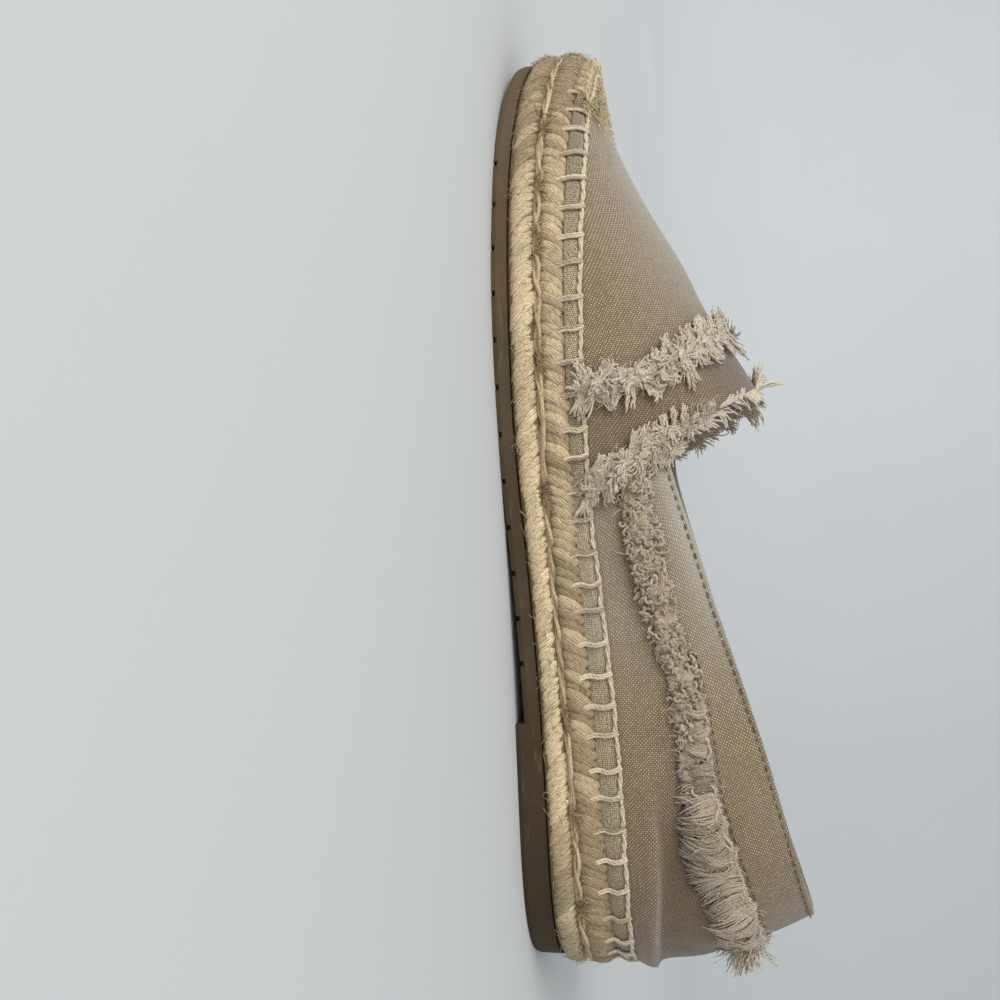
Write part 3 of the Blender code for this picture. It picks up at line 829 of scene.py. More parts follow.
# ----------------------------------------------------------- canvas upper
def build_upper():
    n_q, n_v, n_low, n_high = 130, 140, 42, 24
    q_tau = np.linspace(0.0, FOOT, n_q)
    v_tau = np.linspace(FOOT, np.pi, n_v)
    # finer rows at the stitch line, the heel fold and the topline
    grid = np.linspace(0.0, 1.0, 2001)
    crowd = (1.0 + 1.0 * np.exp(-((grid - 0.10) / 0.06) ** 2) + 2.4 * np.exp(-((grid - 0.255) / 0.045) ** 2)
             + 1.2 * np.exp(-((grid - 1.0) / 0.06) ** 2))
    cum = np.concatenate([[0.0], np.cumsum(crowd[1:] + crowd[:-1])])
    low = np.interp(np.linspace(0.0, 1.0, n_low), cum / cum[-1], grid)
    v_rows = np.concatenate([low * corner_s,
                             corner_s + (1 - corner_s) * np.linspace(0, 1, n_high + 1)[1:]])
    verts, faces, uvs, mats = [], [], [], []
    off = 0
    skins = {}
    line_at, painted_shading_at, marks = {}, {}, []
    for side in (1, -1):
        for kind, taus, rows, surf, relief in (("q", q_tau, low, side_wall, side_relief),
                                               ("v", v_tau, v_rows, arch, arch_relief)):
            tt, ss = np.meshgrid(side * taus, rows, indexing="ij")
            out = surf(tt, ss)
            nrm = normal_of(surf, tt, ss)
            d = relief(tt, ss)
            if kind == "q":
                # meets the instep band's edge without a step in the mesh
                w = smooth(np.abs(tt), FOOT - 0.05, FOOT)
                d_edge = arch_relief(np.full_like(tt, side * FOOT), ss * corner_s)
                d = d * (1 - w) + d_edge * w
            if kind == "v":
                w = smooth(ss, 0.9, 1.0) * 0.5
                other = arch_relief(-tt, ss)
                d = d * (1 - w) + other * w
            toe = smooth(np.abs(tt), np.pi - 0.03, np.pi) * 0.5
            if kind == "v":
                d = d * (1 - toe) + arch_relief(-tt, ss) * toe
                n_other = normal_of(arch, -tt, ss)
                nrm = unit(nrm * (1 - w)[..., None] + n_other * w[..., None])
            heel = smooth(0.03 - np.abs(tt), 0.0, 0.03) * 0.5
            if kind == "q":
                d = d * (1 - heel) + side_relief(-tt, ss) * heel
            inner = surf(tt, ss, WALL_INSET + WALL, WALL if kind == "v" else WALL)
            skins[(kind, side)] = (out + nrm * d[..., None], inner + nrm * (d * 0.8)[..., None], tt, ss)
            line_at[(kind, side)] = (arc_up(surf, tt, ss) - stitch_height(foot_x(tt))).ravel()
            # painted shade and sheen for the canvas, kept for each point
            painted_shading_at[(kind, side)] = painted_shading(kind, out, tt, ss).ravel()

    def cloth_uv(kind, side, p, tt, ss):
        """Flat place of each point in its panel, in millimetres."""
        step = np.linalg.norm(np.diff(p, axis=1), axis=-1)
        arc = np.concatenate([np.zeros((p.shape[0], 1)), np.cumsum(step, 1)], 1)
        if kind == "v":
            v = arc - arc[:, -1:]
            u = p[..., 0] * 1.06
            return np.stack([u, side * v], -1)
        mid = p[:, p.shape[1] // 3]
        run = np.concatenate([[0.0], np.cumsum(np.linalg.norm(np.diff(mid, axis=0), axis=-1))])
        return np.stack([np.broadcast_to(side * run[:, None], arc.shape), arc + 300.0], -1)

    index = {}
    for skin in (0, 1):
        for key, data in skins.items():
            p = data[skin]
            index[(skin, *key)] = off + np.arange(p.shape[0] * p.shape[1]).reshape(p.shape[:2])
            verts.append(p.reshape(-1, 3))
            marks.append(np.stack([line_at[key], painted_shading_at[key]], -1))
            off += p.shape[0] * p.shape[1]
    for skin in (0, 1):
        for (kind, side), data in skins.items():
            p, tt, ss = data[skin], data[2], data[3]
            idx = index[(skin, kind, side)]
            uv = cloth_uv(kind, side, data[0], tt, ss)
            a, b, c, d = idx[:-1, :-1], idx[1:, :-1], idx[1:, 1:], idx[:-1, 1:]
            ua, ub, uc, ud = uv[:-1, :-1], uv[1:, :-1], uv[1:, 1:], uv[:-1, 1:]
            quad = np.stack([a, b, c, d], -1).reshape(-1, 4)
            quv = np.stack([ua, ub, uc, ud], -2).reshape(-1, 4, 2)
            sm = (ss[:-1, :-1] + ss[1:, 1:]) / 2
            tm = (tt[:-1, :-1] + tt[1:, 1:]) / 2
            if kind == "v":
                on_vamp = foot_x(tm) > vamp_edge_foot(sm)
                quv[on_vamp.ravel()] += np.array([41.3, 17.7])
                c8, s8 = math.cos(0.10), math.sin(0.10)
                r = quv[on_vamp.ravel()]
                quv[on_vamp.ravel()] = np.stack([r[..., 0] * c8 - r[..., 1] * s8,
                                                 r[..., 0] * s8 + r[..., 1] * c8], -1)
                fold = np.zeros(sm.shape, bool)
            else:
                band = sm > collar_edge(foot_x(tm))
                ang = 0.32 * side
                r = quv[band.ravel()]
                quv[band.ravel()] = np.stack([r[..., 0] * math.cos(ang) - r[..., 1] * math.sin(ang),
                                              r[..., 0] * math.sin(ang) + r[..., 1] * math.cos(ang)], -1)
                fold = sm > 0.90
            if (skin == 0) == (side > 0):
                quad, quv = quad[:, ::-1], quv[:, ::-1]
            faces += quad.tolist()
            uvs.append(quv.reshape(-1, 2))
            lining = (skin == 1) & ~fold.ravel()
            mats.append(np.where(lining, 1, 0))

    def rim(keys_idx):
        outer_idx, inner_idx = keys_idx
        q = np.stack([outer_idx[:-1], outer_idx[1:], inner_idx[1:], inner_idx[:-1]], -1)
        faces.extend(q.tolist())
        k = np.arange(len(outer_idx), dtype=float)
        uvs.append(np.stack([np.stack([k[:-1], 0 * k[:-1]], -1), np.stack([k[1:], 0 * k[1:]], -1),
                             np.stack([k[1:], 0 * k[1:] + 1.6], -1),
                             np.stack([k[:-1], 0 * k[:-1] + 1.6], -1)], -2).reshape(-1, 2))
        mats.append(np.zeros(len(q), int))
    for side in (1, -1):
        o_q, i_q = index[(0, "q", side)], index[(1, "q", side)]
        o_v, i_v = index[(0, "v", side)], index[(1, "v", side)]
        rim((o_q[:, 0], i_q[:, 0]))
        rim((o_v[:, 0], i_v[:, 0]))
        rim((o_q[:, -1], i_q[:, -1]))
        rim((o_v[0, n_low - 1:], i_v[0, n_low - 1:]))
    obj = make("upper_canvas", np.concatenate(verts), faces, [MAT["canvas"], MAT["lining"]],
               np.concatenate(uvs), face_mat=np.concatenate(mats), merge=0.02,
               marks=dict(zip(("line", "painted_shading"), np.concatenate(marks).T)))
    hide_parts("upper")
    return obj


build_upper()


# ------------------------------------------------------------- jute braid
def braid_point(length, level, out):
    """Point on the side of the jute band, and its outward direction."""
    tau = tau_at(length)
    p, n = outline(tau)
    x = foot_x(tau)
    low = rubber_top(x) + GAP
    high = jute_top(x)
    lv = np.clip(level, 0.0, 1.0)
    slope = (profile_inset(np.clip(lv + 0.02, 0, 1)) - profile_inset(np.clip(lv - 0.02, 0, 1))) / (
        (np.clip(lv + 0.02, 0, 1) - np.clip(lv - 0.02, 0, 1)) * (high - low))
    nz = np.clip(slope, -0.8, 0.8)
    up = unit(np.stack([n[..., 0], n[..., 1], nz], -1))
    xy = p - n * profile_inset(lv)[..., None]
    q = np.stack([xy[..., 0], xy[..., 1], low + (high - low) * level], -1)
    return q + up * out[..., None], up


GROOVE = spline([-122.7, -94.0, -44.0, 6.0, 48.0, 90.0, 122.7],
                [0.555, 0.55, 0.52, 0.53, 0.55, 0.54, 0.53])


def row_tint(x, n_like, shift=0.0):
    base = rng.uniform(0.42, 1.0, n_like) + shift
    # random tone per strand, then painted shade: darker towards the heel and towards the toe
    return np.clip(base - 0.70 * smooth(-x, 50.0, 112.0) - 0.46 * smooth(x, 66.0, 106.0), 0, 1)


def build_braid():
    K = 11
    q = np.linspace(0.0, 1.0, K)
    # lower row: slim yarns in pairs that lean to the toe as they rise
    count = 2 * int(round(GIRTH / 3.9))
    pitch = GIRTH / count
    k = np.arange(count)
    side = np.where(tau_at(k * pitch) >= 0, 1.0, -1.0)
    pair = np.where(k % 2 == 0, 0.16, -0.16)
    deep = np.repeat(rng.normal(0, 0.10, count // 2), 2)
    lean = np.repeat(8.6 + rng.normal(0, 0.5, count // 2), 2) + rng.normal(0, 0.15, count)
    ell = (k * pitch + pair + rng.normal(0, 0.10, count))[:, None] + lean[:, None] * (q - 0.5) ** 1
    ell = ell + 0.5 * np.sin(np.pi * q) ** 2
    top = GROOVE(foot_x(tau_at(ell[:, -1])))[:, None]
    level = -0.01 + (top + 0.01) * q + rng.normal(0, 0.008, count)[:, None]
    fall = np.where(q < 0.5, 0.85, 0.60) * np.abs(2 * q - 1) ** 3.0
    out = (-0.22 - fall)[None, :] + deep[:, None] + rng.normal(0, 0.06, count)[:, None]
    c, up = braid_point(ell, level, out)
    taper = 0.66 + 0.34 * np.sin(np.pi * np.clip(q * 0.98 + 0.02, 0, 1)) ** 0.6
    hw = (1.04 + rng.normal(0, 0.07, count))[:, None] * taper
    hh = (0.60 + rng.normal(0, 0.05, count))[:, None] * taper
    x0 = foot_x(tau_at(ell[:, K // 2]))
    # the lower row darker still towards the toe: painted shade
    tint = np.clip(np.repeat(row_tint(x0[::2], count // 2, 0.22 - 0.70 * smooth(x0[::2], 50.0, 100.0)), 2) + rng.normal(0, 0.08, count), 0, 1)
    strands("jute_lower_row", [tubes(c, up, hw, hh, 8, tint)], MAT["jute"])

    # upper row: three yarns between two stitches, leaning to the heel
    nxt = np.append(STITCHES[1:], GIRTH + STITCHES[0])
    width = nxt - STITCHES
    parts = []
    for share, rise in ((0.14, -0.16), (0.47, 0.14), (0.80, 0.0)):
        mid = STITCHES + width * share
        n = len(mid)
        # the outer side leans one way round the shoe, the inner side the other
        lean = -(4.4 + rng.normal(0, 0.3, n))
        ell = mid[:, None] + 2.2 + lean[:, None] * (q - 0.5) + 0.7 * np.sin(np.pi * q)
        low = GROOVE(foot_x(tau_at(mid)))[:, None] + 0.01
        level = low + (1.085 - low) * q + rng.normal(0, 0.008, n)[:, None]
        fall = np.where(q < 0.5, 0.55, 0.30) * np.abs(2 * q - 1) ** 3.0
        out = (rise - 0.50 - fall)[None, :] + rng.normal(0, 0.10, n)[:, None]
        c, up = braid_point(ell, level, out)
        taper = 0.60 + 0.40 * np.sin(np.pi * np.clip(q * 0.92 + 0.05, 0, 1)) ** 0.7
        hw = (width * 0.335 * 0.655)[:, None] * taper
        hh = (1.0 + rng.normal(0, 0.06, n))[:, None] * taper
        x_mid = foot_x(tau_at(mid))
        # the upper row darker overall, and darker still from the middle back to the heel: painted shade there
        tint = row_tint(x_mid, n, -0.32 - 0.20 * smooth(-x_mid, -30.0, 20.0))
        parts.append(tubes(c, up, hw, hh, 8, tint))
    strands("jute_upper_row", parts, MAT["jute"])

    # flat fibrous cord in the groove, dipping where it is sewn through
    n = 760
    ell = np.linspace(0, GIRTH, n)
    plies = []
    for ph in (0.0, 2.1, 4.2):
        turn_ = 2 * np.pi * ell / 27.0 + ph + 0.9 * np.sin(ell * 0.31 + ph)
        dip = -0.5 * (0.5 + 0.5 * np.cos(2 * np.pi * ell / 15.2)) ** 6
        lvl = GROOVE(foot_x(tau_at(ell))) + 0.044 * np.cos(turn_) + 0.008 * np.sin(ell * 0.23)
        out = 0.30 + 0.22 * np.sin(turn_) + dip
        c, up = braid_point(ell, lvl, out)
        plies.append((c, up))
    c = np.stack([a for a, _ in plies])
    up = np.stack([b for _, b in plies])
    r = np.full((3, n), 0.52)
    strands("jute_sewing_cord", [tubes(c, up, r * 1.15, r, 6, np.array([0.45, 0.7, 0.9]))], MAT["sewing"])

    # brown frayed knots on the cord
    parts = []
    knots = [(x, 1) for x in (95.4, 76.6, 61.8, 34.7, 2.5, -51.0, -77.0, -101.0)]
    knots += [(x, -1) for x in (88.0, 52.0, 20.0, -18.0, -60.0, -96.0)]
    for x, sd in knots:
        n = 84
        at = float(length_at(sd * float(turn(x)))) + rng.normal(0, 1.7, n)
        ang = rng.normal(0, 0.8, n) + np.pi * rng.integers(0, 2, n)
        ln = rng.uniform(1.6, 4.2, n) * rng.choice([1.0, 1.0, 2.0], n)
        qq = np.linspace(0, 1, 5)[None, :]
        e = at[:, None] + np.cos(ang)[:, None] * ln[:, None] * (qq - 0.5)
        lv = float(GROOVE(x)) + 0.03 + np.sin(ang)[:, None] * ln[:, None] * (qq - 0.5) / 15.0
        o = 0.05 + rng.uniform(0.1, 1.15, n)[:, None] * np.sin(np.pi * qq)
        c, up = braid_point(e, lv, o)
        rr = rng.uniform(0.06, 0.15, n)[:, None] * np.ones((n, 5))
        parts.append(tubes(c, up, rr, rr, 3))
    strands("jute_knots", parts, MAT["knot"])


build_braid()


# -------------------------------------------------------- blanket stitches
def canvas_at_arc(tau, arc, lift):
    """Point on the canvas a length up from the sole, and its normal."""
    tau, arc, lift = np.broadcast_arrays(tau, arc, lift)
    is_q = np.abs(tau) < FOOT
    s_a = share_at(arch, tau, arc)
    s_q = share_at(side_wall, tau, arc)
    pa, na = arch(tau, s_a), normal_of(arch, tau, s_a)
    pq, nq = side_wall(tau, s_q), normal_of(side_wall, tau, s_q)
    base = np.where(is_q, -0.75, arch_relief_plain(tau, s_a)) + stitch_pull(tau, arc)
    p = np.where(is_q[..., None], pq, pa)
    n = np.where(is_q[..., None], nq, na)
    return p + n * (base + lift)[..., None], n


def build_blanket_stitch():
    n = len(STITCHES)
    # the line: one two-ply thread, dipped a little at each stitch
    m = 1100
    ell = np.linspace(0, GIRTH, m)
    i = np.searchsorted(STITCHES, ell)
    gap = np.minimum(np.abs(ell - STITCHES[np.clip(i, 0, n - 1)]), np.abs(ell - STITCHES[np.clip(i - 1, 0, n - 1)]))
    pull = np.exp(-(gap / 0.9) ** 2)
    plies = []
    for ph in (0.0, np.pi):
        tw = 2 * np.pi * ell / 6.4 + ph + 0.7 * np.sin(ell * 0.37)
        tau = tau_at(ell)
        line = stitch_height(foot_x(tau)) + 0.12 * np.sin(ell * 0.41) + 0.26 * np.cos(tw) - 0.22 * pull
        ride = 1.0 * smooth(foot_x(tau), 104.0, 110.0)
        p, nn = canvas_at_arc(tau, line, 0.50 + ride + 0.16 * np.sin(tw) + 0.10 * pull)
        plies.append((p, nn))
    c = np.stack([a for a, _ in plies])
    up = np.stack([b for _, b in plies])
    r = np.full((2, m), 0.36)
    line_part = tubes(c, up, r * 1.1, r, 6, np.array([0.6, 0.8]))
    # the legs: over the line, down the strip, in between two yarns of jute
    K2 = 10
    q2 = np.linspace(0, 1, K2)
    tau_n = tau_at(STITCHES)
    side = np.where(tau_n >= 0, 1.0, -1.0)
    sway = 0.35 + 0.75 * smooth(-foot_x(tau_n), -20.0, 90.0) + rng.normal(0, 0.22, n)
    leg_ell = STITCHES[:, None] + 0.1 - side[:, None] * (sway[:, None] * np.sin(np.pi * q2 * 0.8) + 0.5 * q2 ** 3)
    top = stitch_height(foot_x(tau_n))[:, None] + 0.55
    arc = np.maximum(top * (1 - q2 * 1.0), 0.0)
    for _ in range(2):
        tau2 = tau_at(leg_ell)
        here, _n = canvas_at_arc(tau2, arc, 0.0)
        foot_, _n = canvas_at_arc(tau2[:, -1:], arc[:, -1:], 0.0)
        t_lo, t_hi = outline_xy(tau_at(STITCHES - 0.5)), outline_xy(tau_at(STITCHES + 0.5))
        tangent = unit(t_hi - t_lo)[:, None, :]
        slip = ((here - foot_)[..., :2] * tangent).sum(-1)
        bow = sway[:, None] * np.sin(np.pi * np.clip(q2 * 1.05, 0, 1))
        leg_ell = leg_ell - (slip - side[:, None] * (0.5 * (1 - q2) - bow))
    over = np.exp(-((q2 - 0.10) / 0.10) ** 2)
    # at the toe the jute drawn up over it hides the legs
    sunk = smooth(foot_x(tau_n), 106.0, 109.0)[:, None]
    lift = 0.20 + 0.62 * np.sin(np.pi * np.clip(q2 + 0.08, 0, 1)) ** 0.5 + 0.35 * over - 1.6 * sunk
    p2, n2 = canvas_at_arc(tau2, arc, lift)
    dive = np.array([0.985, 0.90, 0.82, 0.76])
    d_out = np.array([0.75, 0.62, 0.25, -1.0])
    e3 = leg_ell[:, -1:] - side[:, None] * np.array([0.15, 0.5, 0.9, 1.3])
    p3, n3 = braid_point(e3, np.broadcast_to(dive, e3.shape), d_out - 1.6 * sunk)
    pts = np.concatenate([p2[:, :-1], p3], 1)
    ups = unit(np.concatenate([n2[:, :-1], n3], 1))
    for _ in range(2):
        pts[:, 1:-1] = 0.25 * pts[:, :-2] + 0.5 * pts[:, 1:-1] + 0.25 * pts[:, 2:]
    fat = 1.0 + rng.normal(0, 0.06, (n, 1))
    across = unit(np.cross(unit(np.gradient(pts, axis=1)), ups))
    legs = []
    for sgn in (-0.30, 0.30):
        w = np.full(pts.shape[:2], 0.38) * fat
        legs.append(tubes(pts + across * sgn, ups, w, w * 0.95, 6))
    strands("blanket_stitch", [line_part] + legs, MAT["thread"])


build_blanket_stitch()


# ---------------------------------------------------------- topline stitch
def build_topline_stitch():
    """Short machine stitches just inside the folded edge."""
    mid_s = 0.955
    dense = np.linspace(-FOOT + 0.02, FOOT - 0.02, 1600)
    p = side_wall(dense, np.full_like(dense, mid_s))
    run = np.concatenate([[0.0], np.cumsum(np.linalg.norm(np.diff(p, axis=0), axis=1))])
    pitch = 2.5
    n = int(run[-1] / pitch)
    K = 7
    q = np.linspace(0.0, 1.0, K)
    start = (np.arange(n) * pitch)[:, None] + 1.35 * q
    tau = np.interp(start, run, dense)
    x = foot_x(tau)
    height = topline_z(np.clip(x, -109, 15)) - 18.0
    s = 1.0 - 0.95 / height
    lift = 0.08 + 0.26 * np.sin(np.pi * q) ** 0.7 - 0.25 * (np.abs(2 * q - 1) ** 6)
    c, up = on_side(tau, s, np.broadcast_to(lift, tau.shape))
    hw = np.full(c.shape[:2], 0.20)
    rows = [tubes(c, up, hw, hw, 6)]
    # a fainter row holds the collar band down, just over its raw edge
    keep = np.abs(tau[:, 0]) < float(turn(-38.0))
    tau = tau[keep]
    s = collar_edge(foot_x(tau)) + 1.9 / (topline_z(np.clip(foot_x(tau), -109, 15)) - 18.0)
    c, up = on_side(tau, s, np.broadcast_to(lift - 0.08, tau.shape))
    hw = np.full(c.shape[:2], 0.17)
    rows.append(tubes(c, up, hw, hw, 6))
    strands("topline_stitch", rows, MAT["hem"])


build_topline_stitch()


# ----------------------------------------------------------------- fringes
def metric(surface, tau, s):
    e = 0.004
    mt = np.linalg.norm(surface(tau + e, s) - surface(tau - e, s), axis=-1) / (2 * e)
    hi, lo = np.clip(s + e, 0, 1), np.clip(s - e, 0, 1)
    ms = np.linalg.norm(surface(tau, hi) - surface(tau, lo), axis=-1) / (hi - lo)
    return np.maximum(mt, 8.0), np.maximum(ms, 8.0)


def yarns(place, surface, tau0, s0, angle, length, radius, lift0, lift1, curl, crimp, K=9, flare=1.6,
          wave_len=2.1, tint=None, hump=0.0, sides=4):
    """Loose yarn ends that start on the cloth and lie over it.

    angle is the heading in the cloth: 0 towards +tau, pi/2 up the rib.
    """
    T = len(tau0)
    q = np.linspace(0, 1, K)[None, :]
    heading = angle[:, None] + curl[:, None] * q ** 1.2
    step = length[:, None] / (K - 1)
    dx = np.cos(heading) * step
    dy = np.sin(heading) * step
    a = np.cumsum(dx, 1) - dx[:, :1]
    b = np.cumsum(dy, 1) - dy[:, :1]
    wave = crimp[:, None] * np.sin(2 * np.pi * (q * length[:, None] / wave_len) + rng.uniform(0, 6.28, (T, 1)))
    a = a - np.sin(heading) * wave
    b = b + np.cos(heading) * wave
    mt, ms = metric(surface, tau0, s0)
    tau = tau0[:, None] + a / mt[:, None]
    s = s0[:, None] + b / ms[:, None]
    lift = lift0[:, None] + lift1[:, None] * q ** flare + 0.5 * wave + hump * np.sin(np.pi * q) ** 0.8
    c, up = place(tau, s, lift)
    r = radius[:, None] * (0.94 - 0.22 * q ** 4) * np.ones((T, K))
    tilt = unit(up + 0.3 * rng.normal(0, 1, (T, 1, 3)))
    return tubes(c, tilt, r, r * 0.9, sides, tint)


class Tufts:
    """Yarns that lie next to each other share most of their habit."""

    def __init__(self, n, per):
        self.n = n
        cuts = np.cumsum(np.maximum(2, rng.poisson(per, n)))
        self.which = np.searchsorted(cuts, np.arange(n), side="right")
        self.count = int(self.which.max()) + 1

    def draw(self, mean, spread, alone=0.25):
        centre = rng.normal(0, spread, self.count)
        return mean + centre[self.which] + rng.normal(0, spread * alone, self.n)

    def pick(self, lo, hi, alone=0.12):
        centre = rng.uniform(lo, hi, self.count)
        return centre[self.which] * (1 + rng.normal(0, alone, self.n))


def matted_core(place, tau, s, half_w, half_h, lift, name, bump=0.35, pit=0.9):
    """The matted bed of a fringe: a lumpy roll that lies on the cloth."""
    K = len(tau)
    c, up = place(tau, s, np.full(K, lift))
    for _ in range(6):
        c[1:-1] = 0.25 * c[:-2] + 0.5 * c[1:-1] + 0.25 * c[2:]
    sides = 18
    v, f, u, tn = tubes(c[None], up[None], half_w[None], half_h[None], sides, np.array([0.32]))
    grid = v.reshape(K, sides, 3)
    middle = c[:, None, :]
    out = grid - middle
    lump = rng.normal(0, 1, (K, sides))
    lump = 0.5 * lump + 0.25 * np.roll(lump, 1, 0) + 0.25 * np.roll(lump, 1, 1)
    coarse = rng.normal(0, 1, (K // 4 + 2, sides))
    coarse = np.repeat(coarse, 4, 0)[:K]
    coarse = (coarse + np.roll(coarse, 1, 0) + np.roll(coarse, 2, 0) + np.roll(coarse, 1, 1)) / 2.6
    h = bump * lump + 0.45 * bump * coarse
    size = np.linalg.norm(out, axis=-1, keepdims=True)
    grid = grid + out / np.maximum(size, 0.2) * h[..., None]
    return grid.reshape(-1, 3), f, u, tn


def edge_line(side, foot_of, s_lo, s_hi, step=0.5):
    s = np.linspace(s_lo, s_hi, 400)
    tau = side * turn(foot_of(s))
    p = arch(tau, np.clip(s, 0, 1))
    run = np.concatenate([[0.0], np.cumsum(np.linalg.norm(np.diff(p, axis=0), axis=1))])
    at = np.arange(0, run[-1], step)
    ss = np.interp(at, run, s)
    return side * turn(foot_of(ss)), ss


def build_vamp_fringe():
    parts = []
    for side in (1, -1):
        tau, s = edge_line(side, vamp_edge_foot, 0.04, 1.0)
        k = np.linspace(0, 1, len(tau))
        w = 2.5 + 0.5 * np.sin(k * 17) + 0.3 * np.sin(k * 41 + 1)
        w = w * (0.35 + 0.65 * smooth(k, 0.0, 0.08))
        h = 1.05 + 0.2 * np.sin(k * 23 + 2)
        parts.append(matted_core(on_arch, tau, s, w, h, 0.75, "vamp"))
        few = 1.0 if side > 0 else 0.38
        for count, kind, l_lo, l_hi, h0, h1 in [
                (470, "heel", 3.6, 6.6, 0.5, 0.8),
                (430, "toe", 3.4, 6.2, 0.6, 1.1),
                (520, "over", 2.4, 4.6, 1.3, 1.3)]:
            n = int(count * few)
            s0 = np.sort(rng.uniform(0.03, 1.0, n))
            tf = Tufts(n, 9)
            foot = vamp_edge_foot(s0) + tf.draw(0.0, 0.7, 0.5)
            to_toe = 0.0 if side > 0 else np.pi
            up_dir = 0.35 if side > 0 else -0.35
            if kind == "toe":
                ang = tf.draw(to_toe + up_dir, 0.50, 0.16)
                curl = tf.draw(0.0, 0.8, 0.15)
            elif kind == "heel":
                ang = tf.draw(to_toe + np.pi + up_dir * 0.4, 0.50, 0.16)
                curl = tf.draw(0.0, 0.8, 0.15)
            else:
                ang = tf.draw(0.0, 2.4, 0.15)
                curl = tf.draw(0.0, 1.6, 0.3)
            length = tf.pick(l_lo, l_hi)
            # a fuller tuft stands at the ridge
            length = length * (1 + (-0.35 if kind == "toe" else 0.45) * smooth(s0, 0.88, 1.0))
            rise = h1 * tf.pick(0.2, 1.2) + (0.6 if kind == "toe" else 2.2) * smooth(s0, 0.92, 1.0) * tf.pick(0.2, 1.0)
            parts.append(yarns(on_arch, arch, side * turn(foot), s0, ang, length,
                               rng.uniform(0.24, 0.38, n), h0 + tf.pick(0.0, 0.9), rise, curl,
                               rng.uniform(0.08, 0.20, n), K=8, tint=np.clip(tf.draw(0.62, 0.16, 0.6), 0, 1)))
    return strands("vamp_fringe", parts, MAT["fringe"])


def build_throat_fringe():
    parts = []

    def foot_of(s):
        return INSTEP_BASE_X + 0.6 + 0.0 * s
    for side in (1, -1):
        tau, s = edge_line(side, foot_of, 0.04, 0.37 if side > 0 else 0.80)
        k = np.linspace(0, 1, len(tau))
        w = (2.3 + 0.5 * np.sin(k * 15 + 1) + 0.3 * np.sin(k * 37)) * (0.35 + 0.65 * smooth(k, 0.0, 0.08))
        h = 1.0 + 0.2 * np.sin(k * 21)
        fade = 1.0 - 0.75 * smooth(k, 0.75, 1.0)
        parts.append(matted_core(on_arch, tau, s, w * fade, h * fade, 0.7, "throat"))
        for count, kind, l_lo, l_hi, h0, h1, s_max in [
                (300, "heel", 3.6, 6.8, 0.2, 0.7, 0.40),
                (310, "toe", 3.4, 6.4, 0.6, 1.2, 0.36),
                (330, "over", 2.4, 4.6, 1.2, 1.3, 0.42),
                (110, "edge", 3.4, 6.0, -0.3, 0.4, 1.0),
                (150, "hang", 3.5, 6.5, -0.6, -0.9, 0.98)]:
            if side < 0 and kind != "hang":
                s_max = 0.86
                count = int(count * 0.42)
            if side < 0 and kind == "hang":
                count = 210
            s_min = 0.04
            if kind == "edge":
                s_min = 0.40
            if kind == "hang" and side > 0:
                s_min, count = 0.42, 34
            s0 = np.sort(rng.uniform(s_min, s_max, count))
            tf = Tufts(count, 9)
            foot = INSTEP_BASE_X + 0.5 + np.abs(tf.draw(0.0, 0.6, 0.5))
            to_toe = 0.0 if side > 0 else np.pi
            up_dir = 0.45 if side > 0 else -0.45
            curl = tf.draw(0.0, 0.75, 0.15)
            if kind == "toe":
                ang = tf.draw(to_toe + up_dir, 0.50, 0.16)
            elif kind == "heel":
                ang = tf.draw(to_toe + np.pi - up_dir * 0.5, 0.50, 0.16)
            elif kind == "over":
                ang = tf.draw(0.0, 2.4, 0.15)
                curl = tf.draw(0.0, 1.6, 0.3)
            elif kind == "edge":
                ang = tf.draw(np.pi / 2 + (0.10 if side > 0 else -0.10), 0.30)
            else:
                ang = tf.draw(to_toe + np.pi - up_dir * (1.9 if side > 0 else 1.0), 0.40)
            length = tf.pick(l_lo, l_hi)
            if kind == "hang" and side < 0:
                length, h0, h1 = length * 1.25, -0.2, 0.6
            slim = 1.0 if side > 0 else 0.62
            # the far side's yarns get a paler tint: painted light where they lie in the vamp's shade
            parts.append(yarns(on_arch, arch, side * turn(foot), s0, ang, length,
                               rng.uniform(0.24, 0.37, count) * slim, h0 + tf.pick(0.0, 0.7),
                               h1 * tf.pick(0.2, 1.2), curl, rng.uniform(0.08, 0.19, count), K=8,
                               tint=np.clip(tf.draw(0.55 if side > 0 else 1.0, 0.14, 0.6), 0, 1)))
    # stray tufts past the peak of the throat
    n = 34
    tf = Tufts(n, 6)
    s0 = rng.uniform(0.95, 1.0, n)
    parts.append(yarns(on_arch, arch, turn(np.full(n, INSTEP_BASE_X + 0.6) + rng.uniform(0, 1.2, n)), s0,
                       tf.draw(1.25, 0.35, 0.2), tf.pick(4.5, 7.5), rng.uniform(0.30, 0.42, n),
                       np.full(n, 0.2), tf.pick(3.0, 6.0), tf.draw(0.0, 0.3), rng.uniform(0.05, 0.2, n),
                       flare=1.15, tint=np.full(n, 0.7)))
    return strands("throat_fringe", parts, MAT["fringe"])


